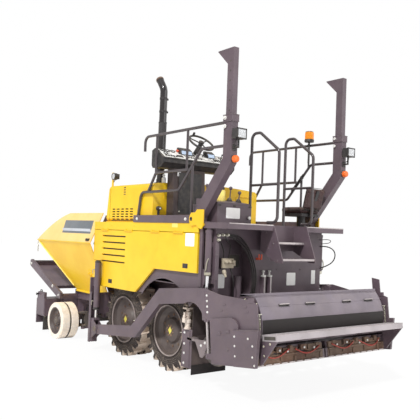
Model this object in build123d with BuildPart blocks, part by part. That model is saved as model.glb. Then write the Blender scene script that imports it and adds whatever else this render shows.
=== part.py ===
import os
from math import cos, radians, sin

from build123d import *

# Asphalt paver on six wheels, in millimetres. +X is forward (hopper), +Y is left, +Z is up and the
# ground is z = 0. The origin is under the middle of the machine's box.

# ---- running gear
rear_axle_x = -1110
axle_spacing = 1165
front_axle_x = 1805
drive_tyre_radius = 538
drive_tyre_width = 372
drive_track_half = 739
drive_rim_radius = 338
lug_height = 34
lug_count = 20
front_wheel_radius = 303
front_tyre_width = 140
front_twin_gap = 18
front_track_half = 1060
front_rim_radius = 226
kingpin_y = 805
kingpin_radius = 32
steer_arm_length = 230
wheel_fit = 0.3
running_gap = 8

# ---- frame, hopper and conveyor
longeron_y = 424
longeron_width = 56
longeron_bottom = 400
longeron_top = 880
frame_rear_x = -2130
push_beam_x = 2665
push_beam_depth = 330
push_beam_half = 1100
push_beam_bottom = 280
push_beam_top = 590
push_roller_radius = 75
push_roller_length = 640
wing_pivot_y = 720
wing_pivot_z = 780
wing_plate = 12
wing_knee_y = 1100
wing_knee_z = 1640
wing_top_y = 880
wing_top_z = 2135
wing_rear_x = 870
wing_knee_front_x = 2950
wing_foot_front_x = 2060
apron_arm_y = 1020
apron_arm_width = 46
apron_pivot_x = 2060
apron_pivot_z = 700
apron_reach = 1420
apron_rise_deg = 21
hopper_step_z = 690
tunnel_half = 360
conveyor_width = 318
tunnel_floor_z = 640
slat_pitch = 260

# ---- bodywork
panel_y = 1050
panel_thickness = 30
panel_bottom_z = 995
panel_seam_z = 1869
panel_front_x = 843
door_notch_x = 495
door_notch_z = 1385
door_gap = 8
panel_rear_x = -1873
arch_top_z = 1362
arch_front_x = -896
panel_foot_x = -440
floor_z = 2000
hood_half = 985
hood_rear_x = -710
hood_front_x = 520
hood_top_z = 2545
hood_crown = 45
exhaust_x = -240
exhaust_y = 560
exhaust_radius = 56
exhaust_foot_z = hood_top_z + 39
sheet = 12

# ---- operator's platform, rails and masts
platform_half = 1038
platform_rear_x = -2440
rail_y = 1012
rail_radius = 19
rail_top_z = 3208
rail_low_z = 2678
mast_y = 1000
mast_x = -2366
mast_depth = 150
mast_width = 96
mast_elbow_z = 2730
mast_collar_z = 3292
mast_foot_x = -1765
upper_mast_depth = 112
upper_mast_width = 76
mast_top_z = 4100
mast_drop = 260

# ---- tow points, arms and screed
tow_pin_x = 500
tow_pin_z = 350
tow_pin_radius = 30
arm_inner_y = 1078
arm_outer_y = 1150
screed_raise_deg = 7.0
screed_half = 1164
gate_thickness = 22
lift_x = -2040
lift_y = 1012
lift_top_z = 1905
lift_barrel_radius = 42
lift_rod_radius = 22

# ---- augers
auger_x = -2075
auger_z = 420
auger_radius = 185
auger_shaft_radius = 45
auger_pitch = 300

os.makedirs("parts", exist_ok=True)


def save(builder, name):
    builder.part.label = name
    export_step(builder.part, f"parts/{name}.step")


def side_plane(y, frame=Plane.XY):
    """A plane across the machine at y: its own x runs forward and its own y runs up."""
    return Plane(frame.location * Plane(origin=(0, y, 0), x_dir=(1, 0, 0), z_dir=(0, -1, 0)).location)


def cross_plane(x, frame=Plane.XY):
    """A plane facing forward at x: its own x runs left and its own y runs up."""
    return Plane(frame.location * Plane(origin=(x, 0, 0), x_dir=(0, 1, 0), z_dir=(1, 0, 0)).location)


def slab(plane, thickness, points, mode=Mode.ADD):
    with BuildSketch(plane) as outline:
        with BuildLine():
            Polyline(*points, close=True)
        make_face()
    extrude(outline.sketch, amount=thickness / 2, both=True, mode=mode)


def block(x0, x1, y0, y1, z0, z1, frame=Plane.XY, mode=Mode.ADD):
    with Locations(frame.location * Location(((x0 + x1) / 2, (y0 + y1) / 2, (z0 + z1) / 2))):
        Box(abs(x1 - x0), abs(y1 - y0), abs(z1 - z0), mode=mode)


def rod(start, end, radius, frame=Plane.XY, mode=Mode.ADD):
    first, last = Vector(start), Vector(end)
    along = Plane(frame.location * Plane(origin=first, z_dir=last - first).location)
    with BuildSketch(along) as disc:
        Circle(radius)
    extrude(disc.sketch, amount=(last - first).length, mode=mode)


def tube_run(points, radius, bend):
    with BuildLine(mode=Mode.PRIVATE) as path:
        if len(points) > 2:
            FilletPolyline(*points, radius=bend)
        else:
            Line(*points)
    with BuildSketch(path.line ^ 0) as ring:
        Circle(radius)
    sweep(ring.sketch, path=path.line)


def disc_plane(x, y, z, side):
    """A plane at a wheel's centre whose normal points out of the machine on that side."""
    return Plane(origin=(x, y, z), x_dir=(1, 0, 0), z_dir=(0, side, 0))


def ring(plane, profile):
    """Turns a profile of (distance out along the axle, radius) about the plane's normal."""
    lathe = Plane(origin=plane.origin, x_dir=plane.z_dir, z_dir=plane.z_dir.cross(Vector(0, 0, 1)))
    with BuildSketch(lathe) as section:
        with BuildLine():
            Polyline(*profile, close=True)
        make_face()
    revolve(section.sketch, axis=Axis(plane.origin, plane.z_dir))


# ================================================================ drive wheels
drive_axles_x = {"rear": rear_axle_x, "mid": rear_axle_x + axle_spacing}
sides = {"left": 1, "right": -1}
half_tyre = drive_tyre_width / 2
carcass_radius = drive_tyre_radius - lug_height
tyre_profile = [
    (-half_tyre + 22, drive_rim_radius), (-half_tyre, drive_rim_radius + 60),
    (-half_tyre, carcass_radius - 50), (-half_tyre + 34, carcass_radius),
    (half_tyre - 34, carcass_radius), (half_tyre, carcass_radius - 50),
    (half_tyre, drive_rim_radius + 60), (half_tyre - 22, drive_rim_radius),
]
rim_edge = drive_rim_radius - wheel_fit
rim_profile = [
    (-half_tyre + 30, 150), (-half_tyre + 30, rim_edge), (half_tyre - 26, rim_edge),
    (half_tyre - 10, rim_edge), (half_tyre - 10, rim_edge - 22), (half_tyre - 26, rim_edge - 22),
    (half_tyre - 60, rim_edge - 34), (half_tyre - 96, 250), (half_tyre - 100, 175),
    (half_tyre - 62, 150), (half_tyre - 40, 96), (half_tyre - 40, 0),
    (half_tyre - 150, 0), (half_tyre - 150, 150),
]
lug_length = 150
lug_depth = 96
lug_base = 74
wheel_middle = disc_plane(0, 0, 0, 1)
with BuildPart() as tyre_form:
    ring(wheel_middle, tyre_profile)
    for row in (1, -1):
        # each row of shoulder lugs is turned half a pitch from the other
        start = -90 + (0 if row == 1 else 180 / lug_count)
        lug_seats = []
        for lug in range(lug_count):
            turn = radians(start + lug * 360 / lug_count)
            out = Vector(cos(turn), 0, sin(turn))
            foot = Vector(0, row * (half_tyre - lug_length / 2), 0) + out * (carcass_radius - 60)
            lug_seats.append(Plane(origin=foot, x_dir=(0, 1, 0), z_dir=out))
        with BuildSketch(*lug_seats) as lug_feet:
            Rectangle(lug_length, lug_base, rotation=row * 12)
        extrude(lug_feet.sketch, amount=60 + lug_height, taper=5)
with BuildPart() as rim_form:
    ring(wheel_middle, rim_profile)

for axle, axle_x in drive_axles_x.items():
    for side, sign in sides.items():
        place = Location((axle_x, sign * drive_track_half, drive_tyre_radius))
        for form, name in ((tyre_form, "drive_tyre"), (rim_form, "drive_rim")):
            with BuildPart() as wheel_piece:
                turned = form.part if sign > 0 else mirror(form.part, about=Plane.XZ, mode=Mode.PRIVATE)
                add(turned.moved(place))
            save(wheel_piece, f"{name}_{axle}_{side}")

# ================================================================ front axle and steering
twin_half = front_tyre_width + front_twin_gap / 2
tread_inner = front_rim_radius + wheel_fit
for side, sign in sides.items():
    hub = disc_plane(front_axle_x, sign * front_track_half, front_wheel_radius, sign)
    with BuildPart() as front_tyres:
        for inner_edge in (-twin_half, front_twin_gap / 2):
            outer_edge = inner_edge + front_tyre_width
            ring(hub, [
                (inner_edge, tread_inner), (inner_edge, front_wheel_radius - 12),
                (inner_edge + 12, front_wheel_radius), (outer_edge - 12, front_wheel_radius),
                (outer_edge, front_wheel_radius - 12), (outer_edge, tread_inner),
            ])
    save(front_tyres, f"front_tyres_{side}")
    with BuildPart() as front_rim:
        ring(hub, [
            (-twin_half, 110), (-twin_half, front_rim_radius), (twin_half, front_rim_radius),
            (twin_half, front_rim_radius - 18), (twin_half - 50, front_rim_radius - 40),
            (twin_half - 62, 90), (twin_half - 30, 74), (twin_half - 22, 56), (twin_half - 22, 0),
            (-twin_half + 60, 0), (-twin_half + 60, 110),
        ])
    save(front_rim, f"front_rim_{side}")
    # stub axle, kingpin boss and steering arm
    with BuildPart() as knuckle:
        boss_half = 88
        rod((front_axle_x, sign * kingpin_y, front_wheel_radius - boss_half),
            (front_axle_x, sign * kingpin_y, front_wheel_radius + boss_half), 62)
        rod((front_axle_x, sign * kingpin_y, front_wheel_radius),
            (front_axle_x, sign * (front_track_half - twin_half + 60 - wheel_fit), front_wheel_radius), 50)
        block(front_axle_x - steer_arm_length - 35, front_axle_x, sign * (kingpin_y - 30),
              sign * (kingpin_y + 30), front_wheel_radius - 88, front_wheel_radius - 58)
        rod((front_axle_x, sign * kingpin_y, 0), (front_axle_x, sign * kingpin_y, 900),
            kingpin_radius + wheel_fit, mode=Mode.SUBTRACT)
        rod((front_axle_x - steer_arm_length, sign * kingpin_y, 0),
            (front_axle_x - steer_arm_length, sign * kingpin_y, 900), 13, mode=Mode.SUBTRACT)
    save(knuckle, f"knuckle_{side}")

with BuildPart() as tie_rod:
    tie_z = front_wheel_radius - 88 - 24
    rod((front_axle_x - steer_arm_length, -kingpin_y + 30, tie_z),
        (front_axle_x - steer_arm_length, kingpin_y - 30, tie_z), 19)
    for sign in (1, -1):
        end = (front_axle_x - steer_arm_length, sign * kingpin_y)
        rod((*end, tie_z - 20), (*end, tie_z + 20), 32)
        rod((*end, tie_z), (*end, front_wheel_radius - 56), 12.7)
save(tie_rod, "tie_rod")

with BuildPart() as front_axle:
    # forked beam: a fork holds each knuckle between its two jaws
    fork_gap = 92
    for sign in (1, -1):
        for z in (front_wheel_radius - fork_gap - 30, front_wheel_radius + fork_gap):
            block(front_axle_x - 60, front_axle_x + 60, sign * (kingpin_y - 150),
                  sign * (kingpin_y + 50), z, z + 30)
        rod((front_axle_x, sign * kingpin_y, front_wheel_radius - fork_gap - 30),
            (front_axle_x, sign * kingpin_y, front_wheel_radius + fork_gap + 30), kingpin_radius)
        block(front_axle_x - 60, front_axle_x + 60, sign * (kingpin_y - 190), sign * (kingpin_y - 120),
              front_wheel_radius - fork_gap - 30, front_wheel_radius + fork_gap + 30)
    block(front_axle_x - 60, front_axle_x + 60, -kingpin_y + 150, kingpin_y - 150,
          front_wheel_radius - 50, front_wheel_radius + 60)
    rod((front_axle_x - 190, 0, front_wheel_radius + 30),
        (front_axle_x + 190, 0, front_wheel_radius + 30), 70)
save(front_axle, "front_axle")

# ================================================================ drive axles: chain-case bogies
with BuildPart() as drive_axles:
    case_inner = longeron_y + longeron_width / 2
    case_outer = drive_track_half - half_tyre - 14
    for sign in (1, -1):
        mid_y = sign * (case_inner + case_outer) / 2
        with BuildSketch(side_plane(mid_y)) as case_side:
            with Locations((rear_axle_x + axle_spacing / 2, drive_tyre_radius)):
                SlotCenterToCenter(axle_spacing, 250)
        extrude(case_side.sketch, amount=(case_outer - case_inner) / 2, both=True)
        for axle_x in drive_axles_x.values():
            rod((axle_x, sign * case_inner, drive_tyre_radius),
                (axle_x, sign * (drive_track_half + half_tyre - 150 - wheel_fit), drive_tyre_radius), 92)
save(drive_axles, "drive_axles")

# ================================================================ main frame
frame_front_x = push_beam_x - push_beam_depth / 2
with BuildPart() as main_frame:
    for sign in (1, -1):
        slab(side_plane(sign * longeron_y), longeron_width, [
            (frame_rear_x, 700), (frame_rear_x + 280, 700), (frame_rear_x + 350, longeron_bottom),
            (front_axle_x - 420, longeron_bottom), (front_axle_x - 330, longeron_bottom + 100),
            (front_axle_x + 330, longeron_bottom + 100), (front_axle_x + 420, longeron_bottom - 60),
            (frame_front_x, longeron_bottom - 60), (frame_front_x, push_beam_top),
            (front_axle_x + 330, hopper_step_z), (wing_rear_x, hopper_step_z), (wing_rear_x, longeron_top),
            (frame_rear_x, longeron_top),
        ])
save(main_frame, "main_frame")

with BuildPart() as cross_members:
    inner = longeron_y - longeron_width / 2
    member_table = [
        # x from, x to, z from, z to
        (frame_front_x - 60, frame_front_x, longeron_bottom - 60, push_beam_top),
        (front_axle_x + 120, front_axle_x + 200, front_wheel_radius + 30, 522),
        (front_axle_x - 200, front_axle_x - 120, front_wheel_radius + 30, 522),
        (wing_rear_x - 300, wing_rear_x - 220, longeron_bottom, longeron_bottom + 40),
        (rear_axle_x + axle_spacing / 2 - 150, rear_axle_x + axle_spacing / 2 + 150,
         longeron_bottom, longeron_bottom + 40),
        (rear_axle_x - 420, rear_axle_x - 340, longeron_bottom, longeron_bottom + 40),
    ]
    for x0, x1, z0, z1 in member_table:
        block(x0, x1, -inner, inner, z0, z1)
    # oscillation bearing of the front axle
    for x0 in (front_axle_x + 120, front_axle_x - 200):
        rod((x0, 0, front_wheel_radius + 30), (x0 + 80, 0, front_wheel_radius + 30), 110)
    rod((front_axle_x - 300, 0, front_wheel_radius + 30), (front_axle_x + 300, 0, front_wheel_radius + 30),
        70 + wheel_fit, mode=Mode.SUBTRACT)
    # auger bearing leg under the rear end of the frame
    block(auger_x - 45, auger_x + 45, -24, 24, auger_z - 60, longeron_top)
    block(auger_x - 45, auger_x + 45, -inner, inner, longeron_top - 60, longeron_top)
    rod((auger_x, -60, auger_z), (auger_x, 60, auger_z), 40)
save(cross_members, "cross_members")

# ================================================================ push beam with its two rollers
with BuildPart() as front_crossbeam:
    beam_rear_x = push_beam_x - push_beam_depth / 2
    beam_front_x = push_beam_x + push_beam_depth / 2
    block(beam_rear_x, beam_front_x, -push_beam_half, push_beam_half, push_beam_bottom, push_beam_top)
    block(beam_front_x, beam_front_x + 28, -push_beam_half, push_beam_half, 130, push_beam_top - 20)
    for sign in (1, -1):
        block(beam_rear_x + 20, beam_front_x - 40, sign * (push_beam_half - 42), sign * push_beam_half,
              push_beam_top, push_beam_top + 110)
    # roller yoke: three ears on a pad that carry the roller shaft
    roller_x = beam_front_x + 58 + push_roller_radius + running_gap
    roller_z = 430
    block(beam_front_x + 28, beam_front_x + 58, -push_roller_length - 70, push_roller_length + 70,
          roller_z - 90, roller_z + 90)
    for y in (-push_roller_length - 40, 0, push_roller_length + 40):
        block(beam_front_x + 28, roller_x + 40, y - 15, y + 15, roller_z - 60, roller_z + 60)
    rod((roller_x, -push_roller_length - 50, roller_z), (roller_x, push_roller_length + 50, roller_z), 25)
save(front_crossbeam, "front_crossbeam")

with BuildPart() as push_rollers:
    for sign in (1, -1):
        rod((roller_x, sign * 22, roller_z), (roller_x, sign * (push_roller_length + 18), roller_z),
            push_roller_radius)
    rod((roller_x, -1000, roller_z), (roller_x, 1000, roller_z), 25.4, mode=Mode.SUBTRACT)
save(push_rollers, "push_rollers")

with BuildPart() as front_flaps:
    for sign in (1, -1):
        slab(cross_plane(beam_rear_x + 60), 12, [
            (sign * 700, push_beam_bottom), (sign * (push_beam_half - 10), push_beam_bottom),
            (sign * (push_beam_half - 10), 30), (sign * 730, 30),
        ])
save(front_flaps, "front_flaps")

# ================================================================ hopper floor and conveyor
hinge_radius = 18
hinge_pin_radius = 9
with BuildPart() as hopper_floor:
    floor_edge_y = wing_pivot_y - hinge_radius - running_gap
    hopper_middle_x = (wing_rear_x + wing_foot_front_x) / 2
    flat_y = longeron_y + longeron_width / 2 + 10
    for sign in (1, -1):
        # floor from the conveyor out to the wing's hinge, resting on the frame
        slab(cross_plane(hopper_middle_x), wing_foot_front_x - wing_rear_x, [
            (sign * tunnel_half, hopper_step_z), (sign * flat_y, hopper_step_z),
            (sign * floor_edge_y, wing_pivot_z - 22), (sign * floor_edge_y, wing_pivot_z - 4),
            (sign * flat_y, hopper_step_z + 18), (sign * tunnel_half, hopper_step_z + 18),
        ])
        block(wing_rear_x, apron_pivot_x + 60, sign * (floor_edge_y - 12), sign * floor_edge_y,
              hopper_step_z - 50, wing_pivot_z - 20)
        # hinge pin of the wing, held between two lugs
        rod((wing_rear_x, sign * wing_pivot_y, wing_pivot_z),
            (apron_pivot_x, sign * wing_pivot_y, wing_pivot_z),
            hinge_pin_radius)
        for lug_x, lug_foot in ((wing_rear_x, wing_pivot_z - 22), (apron_pivot_x - 30, apron_pivot_z - 10)):
            block(lug_x, lug_x + 16, sign * (floor_edge_y - 12), sign * (wing_pivot_y + 20), lug_foot,
                  wing_pivot_z + 22)
        # end bulkhead, with the conveyor tunnel's mouth between its two halves
        slab(cross_plane(wing_rear_x + 8), 16, [
            (sign * tunnel_half, hopper_step_z), (sign * floor_edge_y, wing_pivot_z - 20),
            (sign * (wing_knee_y - 60), wing_knee_z), (sign * (wing_top_y - 40), wing_top_z - 40),
            (0, wing_top_z - 40), (0, 1180), (sign * tunnel_half, 1180),
        ])
        # outrigger that carries the apron's pivot
        block(apron_pivot_x - 50, apron_pivot_x + 50, sign * (floor_edge_y - 12),
              sign * (apron_arm_y - apron_arm_width / 2 - 6), apron_pivot_z - 60, apron_pivot_z - 8)
        rod((apron_pivot_x, sign * (floor_edge_y - 12), apron_pivot_z),
            (apron_pivot_x, sign * (apron_arm_y + apron_arm_width / 2 + 10), apron_pivot_z), 24)
save(hopper_floor, "hopper_floor")

# sides of one wing, seen across the machine: hinge, knee and rim
facets = [(wing_pivot_y, wing_pivot_z), (wing_knee_y, wing_knee_z), (wing_top_y, wing_top_z)]
wing_start_x = wing_rear_x + 16 + running_gap
for side, sign in sides.items():
    with BuildPart() as hopper_wing:
        middle_x = (wing_start_x + wing_knee_front_x) / 2
        with BuildSketch(cross_plane(middle_x)) as wing_section:
            with BuildLine():
                outer_line = Polyline(*[(sign * y, z) for y, z in facets])
                offset(amount=wing_plate, side=Side.RIGHT if sign < 0 else Side.LEFT, closed=True)
            make_face()
        extrude(wing_section.sketch, amount=(wing_knee_front_x - wing_start_x) / 2, both=True)
        # seen from the side the front edge rakes forward and the top corner is rounded off
        with BuildSketch(side_plane(0)) as silhouette:
            with BuildLine():
                corner = (wing_knee_front_x - 60, wing_knee_z + 70)
                foot_line = Polyline((wing_start_x, wing_top_z + 60), (wing_start_x, wing_pivot_z - 60),
                                     (wing_foot_front_x - 38, wing_pivot_z - 60),
                                     (wing_foot_front_x - 38, wing_pivot_z + 35),
                                     (wing_knee_front_x, wing_knee_z), corner)
                ThreePointArc(corner, (2330, 2065), (1730, wing_top_z + 30))
                Line((1730, wing_top_z + 30), (wing_start_x, wing_top_z + 60))
            make_face()
        extrude(silhouette.sketch, amount=1500, both=True, mode=Mode.INTERSECT)
        rod((wing_start_x, sign * wing_pivot_y, wing_pivot_z),
            (wing_foot_front_x - 40, sign * wing_pivot_y, wing_pivot_z), hinge_radius)
        rod((wing_rear_x, sign * wing_pivot_y, wing_pivot_z),
            (apron_pivot_x, sign * wing_pivot_y, wing_pivot_z),
            hinge_pin_radius + wheel_fit, mode=Mode.SUBTRACT)
        # outer rib beside the lift ram's foot
        lean = (wing_knee_y - wing_pivot_y) / (wing_knee_z - wing_pivot_z)
        rib_x = 1240
        slab(cross_plane(rib_x), 12, [
            (sign * (wing_pivot_y + lean * 40), wing_pivot_z + 40),
            (sign * (wing_pivot_y + lean * 430), wing_pivot_z + 430),
            (sign * (wing_pivot_y + lean * 60 + 95), wing_pivot_z + 50),
        ])
    save(hopper_wing, f"hopper_wing_{side}")

apron_frame = Plane(origin=(apron_pivot_x, 0, apron_pivot_z),
                    x_dir=(cos(radians(apron_rise_deg)), 0, sin(radians(apron_rise_deg))), z_dir=(
                        -sin(radians(apron_rise_deg)), 0, cos(radians(apron_rise_deg))))
with BuildPart() as hopper_apron:
    for sign in (1, -1):
        slab(side_plane(sign * apron_arm_y, apron_frame), apron_arm_width, [
            (-62, -45), (-40, 62), (apron_reach - 40, 66), (apron_reach, 30),
            (apron_reach - 60, -62), (60, -62),
        ])
        rod((0, sign * (apron_arm_y - 60), 0), (0, sign * (apron_arm_y + 60), 0), 24 + wheel_fit,
            apron_frame, Mode.SUBTRACT)
    plate_half = apron_arm_y - apron_arm_width / 2
    block(360, apron_reach - 70, -plate_half, plate_half, -58, -46, apron_frame)
    block(apron_reach - 82, apron_reach - 70, -plate_half, plate_half, -58, 30, apron_frame)
    block(360, 372, -plate_half, plate_half, -58, 0, apron_frame)
save(hopper_apron, "hopper_apron")

with BuildPart() as conveyor:
    drum_radius = 60
    drum_front_x = wing_foot_front_x - 90
    drum_rear_x = auger_x + 290
    drum_z = tunnel_floor_z - drum_radius / 2 + 10
    run = drum_front_x - drum_rear_x
    block(drum_rear_x + 110, drum_front_x - 110, -inner, inner, tunnel_floor_z,
          tunnel_floor_z + 10)
    block(drum_rear_x + 110, drum_front_x - 110, -16, 16, tunnel_floor_z + 10, tunnel_floor_z + 70)
    for sign in (1, -1):
        middle_y = sign * (18 + conveyor_width / 2)
        for strand in (-1, 1):
            strand_y = middle_y + strand * (conveyor_width / 2 - 60)
            with BuildSketch(side_plane(strand_y)) as chain_loop:
                with Locations(((drum_front_x + drum_rear_x) / 2, drum_z)):
                    SlotCenterToCenter(run, 2 * drum_radius + 24)
                    SlotCenterToCenter(run, 2 * drum_radius - 6, mode=Mode.SUBTRACT)
            extrude(chain_loop.sketch, amount=14, both=True)
        slat_count = int(run // slat_pitch)
        # slats of the upper and the lower run
        with Locations(((drum_front_x + drum_rear_x) / 2, middle_y, drum_z)):
            with GridLocations(run / slat_count, 1, slat_count, 1):
                with Locations((0, 0, drum_radius + 19), (0, 0, -drum_radius - 19)):
                    Box(28, conveyor_width - 16, 22)
    for drum_x in (drum_front_x, drum_rear_x):
        rod((drum_x, -longeron_y + longeron_width / 2, drum_z),
            (drum_x, longeron_y - longeron_width / 2, drum_z), 32)
        for y in (-240, -100, 100, 240):
            rod((drum_x, y - 30, drum_z), (drum_x, y + 30, drum_z), drum_radius - 3)
save(conveyor, "conveyor")

# ================================================================ engine and bodywork
with BuildPart() as engine_block:
    block(-620, 430, -330, 330, longeron_top + 60, 1720)
    for mount_x in (-480, 300):
        block(mount_x - 45, mount_x + 45, -longeron_y - 20, longeron_y + 20, longeron_top, longeron_top + 60)
save(engine_block, "engine_block")

hood_foot_x = hood_front_x + 80


def hood_section(half, top, crown, corner):
    """Cross-section of the hood: upright sides and a gently crowned roof."""
    with BuildSketch(cross_plane(hood_rear_x)) as section:
        with BuildLine():
            Polyline((-half, top), (-half, floor_z), (half, floor_z), (half, top))
            ThreePointArc((half, top), (0, top + crown), (-half, top))
        make_face()
        fillet(section.vertices().group_by(Axis.Z)[-1], radius=corner)
    return section.sketch


with BuildPart() as hood_room:
    extrude(hood_section(hood_half - sheet, hood_top_z - sheet, hood_crown, 48),
        amount=hood_foot_x - hood_rear_x)
    slab(side_plane(0), 3000, [
        (hood_foot_x - sheet, floor_z), (hood_front_x - sheet, hood_top_z + 100),
        (hood_foot_x + 400, hood_top_z + 100), (hood_foot_x + 400, floor_z),
    ], Mode.SUBTRACT)
    block(hood_rear_x - 1, hood_rear_x + sheet, -2000, 2000, 0, 4000, mode=Mode.SUBTRACT)

with BuildPart() as engine_hood:
    extrude(hood_section(hood_half, hood_top_z, hood_crown, 60), amount=hood_foot_x - hood_rear_x)
    slab(side_plane(0), 3000, [
        (hood_foot_x + 1, floor_z), (hood_front_x, hood_top_z + 100), (hood_foot_x + 400, hood_top_z + 100),
        (hood_foot_x + 400, floor_z),
    ], Mode.SUBTRACT)
    add(hood_room.part, mode=Mode.SUBTRACT)
    rod((exhaust_x, exhaust_y, hood_top_z), (exhaust_x, exhaust_y, exhaust_foot_z), 96)
    rod((exhaust_x, exhaust_y, hood_top_z - 40), (exhaust_x, exhaust_y, exhaust_foot_z), exhaust_radius,
        mode=Mode.SUBTRACT)
    # side grilles: five rows of five slots, cut through both sides
    grille_x = 118
    grille_z = 2108
    with BuildSketch(side_plane(0)) as grille:
        with Locations((grille_x, grille_z)):
            with GridLocations(130, 38, 5, 5):
                SlotOverall(96, 18)
    extrude(grille.sketch, amount=1500, both=True, mode=Mode.SUBTRACT)
    # lamp post at the front left corner
    block(hood_front_x - 28, hood_front_x + 12, hood_half - 46, hood_half - 34, hood_top_z - 120,
        hood_top_z + 215)
save(engine_hood, "engine_hood")

door_outer_y = panel_y
door_inner_y = panel_y - panel_thickness
door_rear_x = panel_rear_x + door_gap
door_front_x = panel_front_x - sheet - door_gap
door_hinges_x = (-1450, -900, -200, 500)
door_hinge_y = panel_y + 10
door_hinge_z = panel_seam_z - 12
with BuildPart() as side_panels:
    for sign in (1, -1):
        strip_middle = sign * (panel_y - sheet / 2)
        # strip above the doors, and the corner below the door's notch
        slab(side_plane(strip_middle), sheet, [
            (panel_rear_x, panel_seam_z), (panel_front_x, panel_seam_z), (panel_front_x, floor_z - 14),
            (panel_rear_x, floor_z - 14),
        ])
        slab(side_plane(strip_middle), sheet, [
            (door_notch_x + door_gap, panel_bottom_z), (panel_front_x, panel_bottom_z),
            (panel_front_x, door_notch_z - door_gap), (door_notch_x + door_gap, door_notch_z - door_gap),
        ])
        # hinge knuckles and pins of the door
        for hinge_x in door_hinges_x:
            rod((hinge_x - 105, sign * door_hinge_y, door_hinge_z),
                (hinge_x + 105, sign * door_hinge_y, door_hinge_z), 5)
            for end in (-1, 1):
                near, far = hinge_x + end * 71, hinge_x + end * 105
                rod((near, sign * door_hinge_y, door_hinge_z), (far, sign * door_hinge_y, door_hinge_z), 9)
                block(near, far, sign * (panel_y - 1), sign * (door_hinge_y - 1), door_hinge_z + 6,
                    panel_seam_z + 16)
        # shelf that carries the strip and the hood
        block(hood_rear_x, panel_front_x - sheet, sign * (hood_half - 60), sign * (panel_y - sheet),
              floor_z - 26, floor_z - 14)
        block(hood_rear_x, hood_foot_x, sign * (hood_half - 60), sign * hood_half, floor_z - 14, floor_z)
        # door sill frame behind the notch
        block(door_notch_x + door_gap, panel_front_x - sheet, sign * 470, sign * (panel_y - sheet),
              panel_bottom_z, panel_bottom_z + 12)
        # corner cap in front of the mast's foot
        with BuildSketch(side_plane(sign * (panel_y + 9))) as cap:
            with BuildLine():
                Polyline((-1735, 2120), (-1810, 2120), (-1850, 2158), (-1975, 2158), (-1975, 1950),
                         (-1940, 1912), (-1880, 1935), (-1835, 1965), (-1735, 1950))
                ThreePointArc((-1735, 1950), (-1690, 2035), (-1735, 2120))
            make_face()
            with Locations((-1732, 2040)):
                Circle(20, mode=Mode.SUBTRACT)
        extrude(cap.sketch, amount=9, both=True)
        block(-1975, -1810, sign * (platform_half), sign * panel_y, 1960, 1985)
    # front wall towards the hopper
    block(panel_front_x - sheet, panel_front_x, -panel_y, panel_y, panel_bottom_z, floor_z - 14)
    block(hood_foot_x, panel_front_x - sheet, -hood_half + 60, hood_half - 60, floor_z - 26, floor_z - 14)
save(side_panels, "side_panels")

for side, sign in sides.items():
    with BuildPart() as side_door:
        slab(side_plane(sign * (door_outer_y + door_inner_y) / 2), panel_thickness, [
            (door_rear_x, arch_top_z), (arch_front_x, arch_top_z - 4), (panel_foot_x, panel_bottom_z),
            (door_notch_x, panel_bottom_z), (door_notch_x, door_notch_z), (door_front_x, door_notch_z),
            (door_front_x, panel_seam_z - door_gap), (door_rear_x, panel_seam_z - door_gap),
        ])
        # five louvre slots
        with BuildSketch(side_plane(0)) as louvres:
            with Locations((225, 1580)):
                with GridLocations(700, 96, 1, 5):
                    SlotOverall(690, 22)
        extrude(louvres.sketch, amount=sign * -1500, mode=Mode.SUBTRACT)
        # hinge barrels along the top edge
        for hinge_x in door_hinges_x:
            block(hinge_x - 70, hinge_x + 70, sign * (panel_y - 1), sign * door_hinge_y,
                door_hinge_z - 9, door_hinge_z)
            rod((hinge_x - 70, sign * door_hinge_y, door_hinge_z),
                (hinge_x + 70, sign * door_hinge_y, door_hinge_z), 9)
            rod((hinge_x - 71, sign * door_hinge_y, door_hinge_z),
                (hinge_x + 71, sign * door_hinge_y, door_hinge_z),
                5 + wheel_fit, mode=Mode.SUBTRACT)
    save(side_door, f"side_door_{side}")

with BuildPart() as fenders:
    liner_z = drive_tyre_radius * 2 + 110
    for sign in (1, -1):
        skirt_y = sign * (door_inner_y - 13)
        with BuildSketch(side_plane(skirt_y)) as skirt:
            with BuildLine():
                Polyline((-1985, 1250), (-1985, 1420), (-880, 1420), (-410, 1060), (-410, 1000),
                         (-560, 1000), (-560, 900), (-1660, 900), (-1900, 1120), close=True)
            make_face()
            with Locations((rear_axle_x, drive_tyre_radius)):
                Circle(700, mode=Mode.SUBTRACT)
        extrude(skirt.sketch, amount=6, both=True)
        block(-1760, 560, sign * (longeron_y + longeron_width / 2), sign * (door_inner_y - 19), liner_z,
            liner_z + 10)
        block(-1760, 560, sign * (longeron_y + longeron_width / 2),
              sign * (longeron_y + longeron_width / 2 + 10),
              longeron_top - 60, liner_z)
save(fenders, "fenders")

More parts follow.
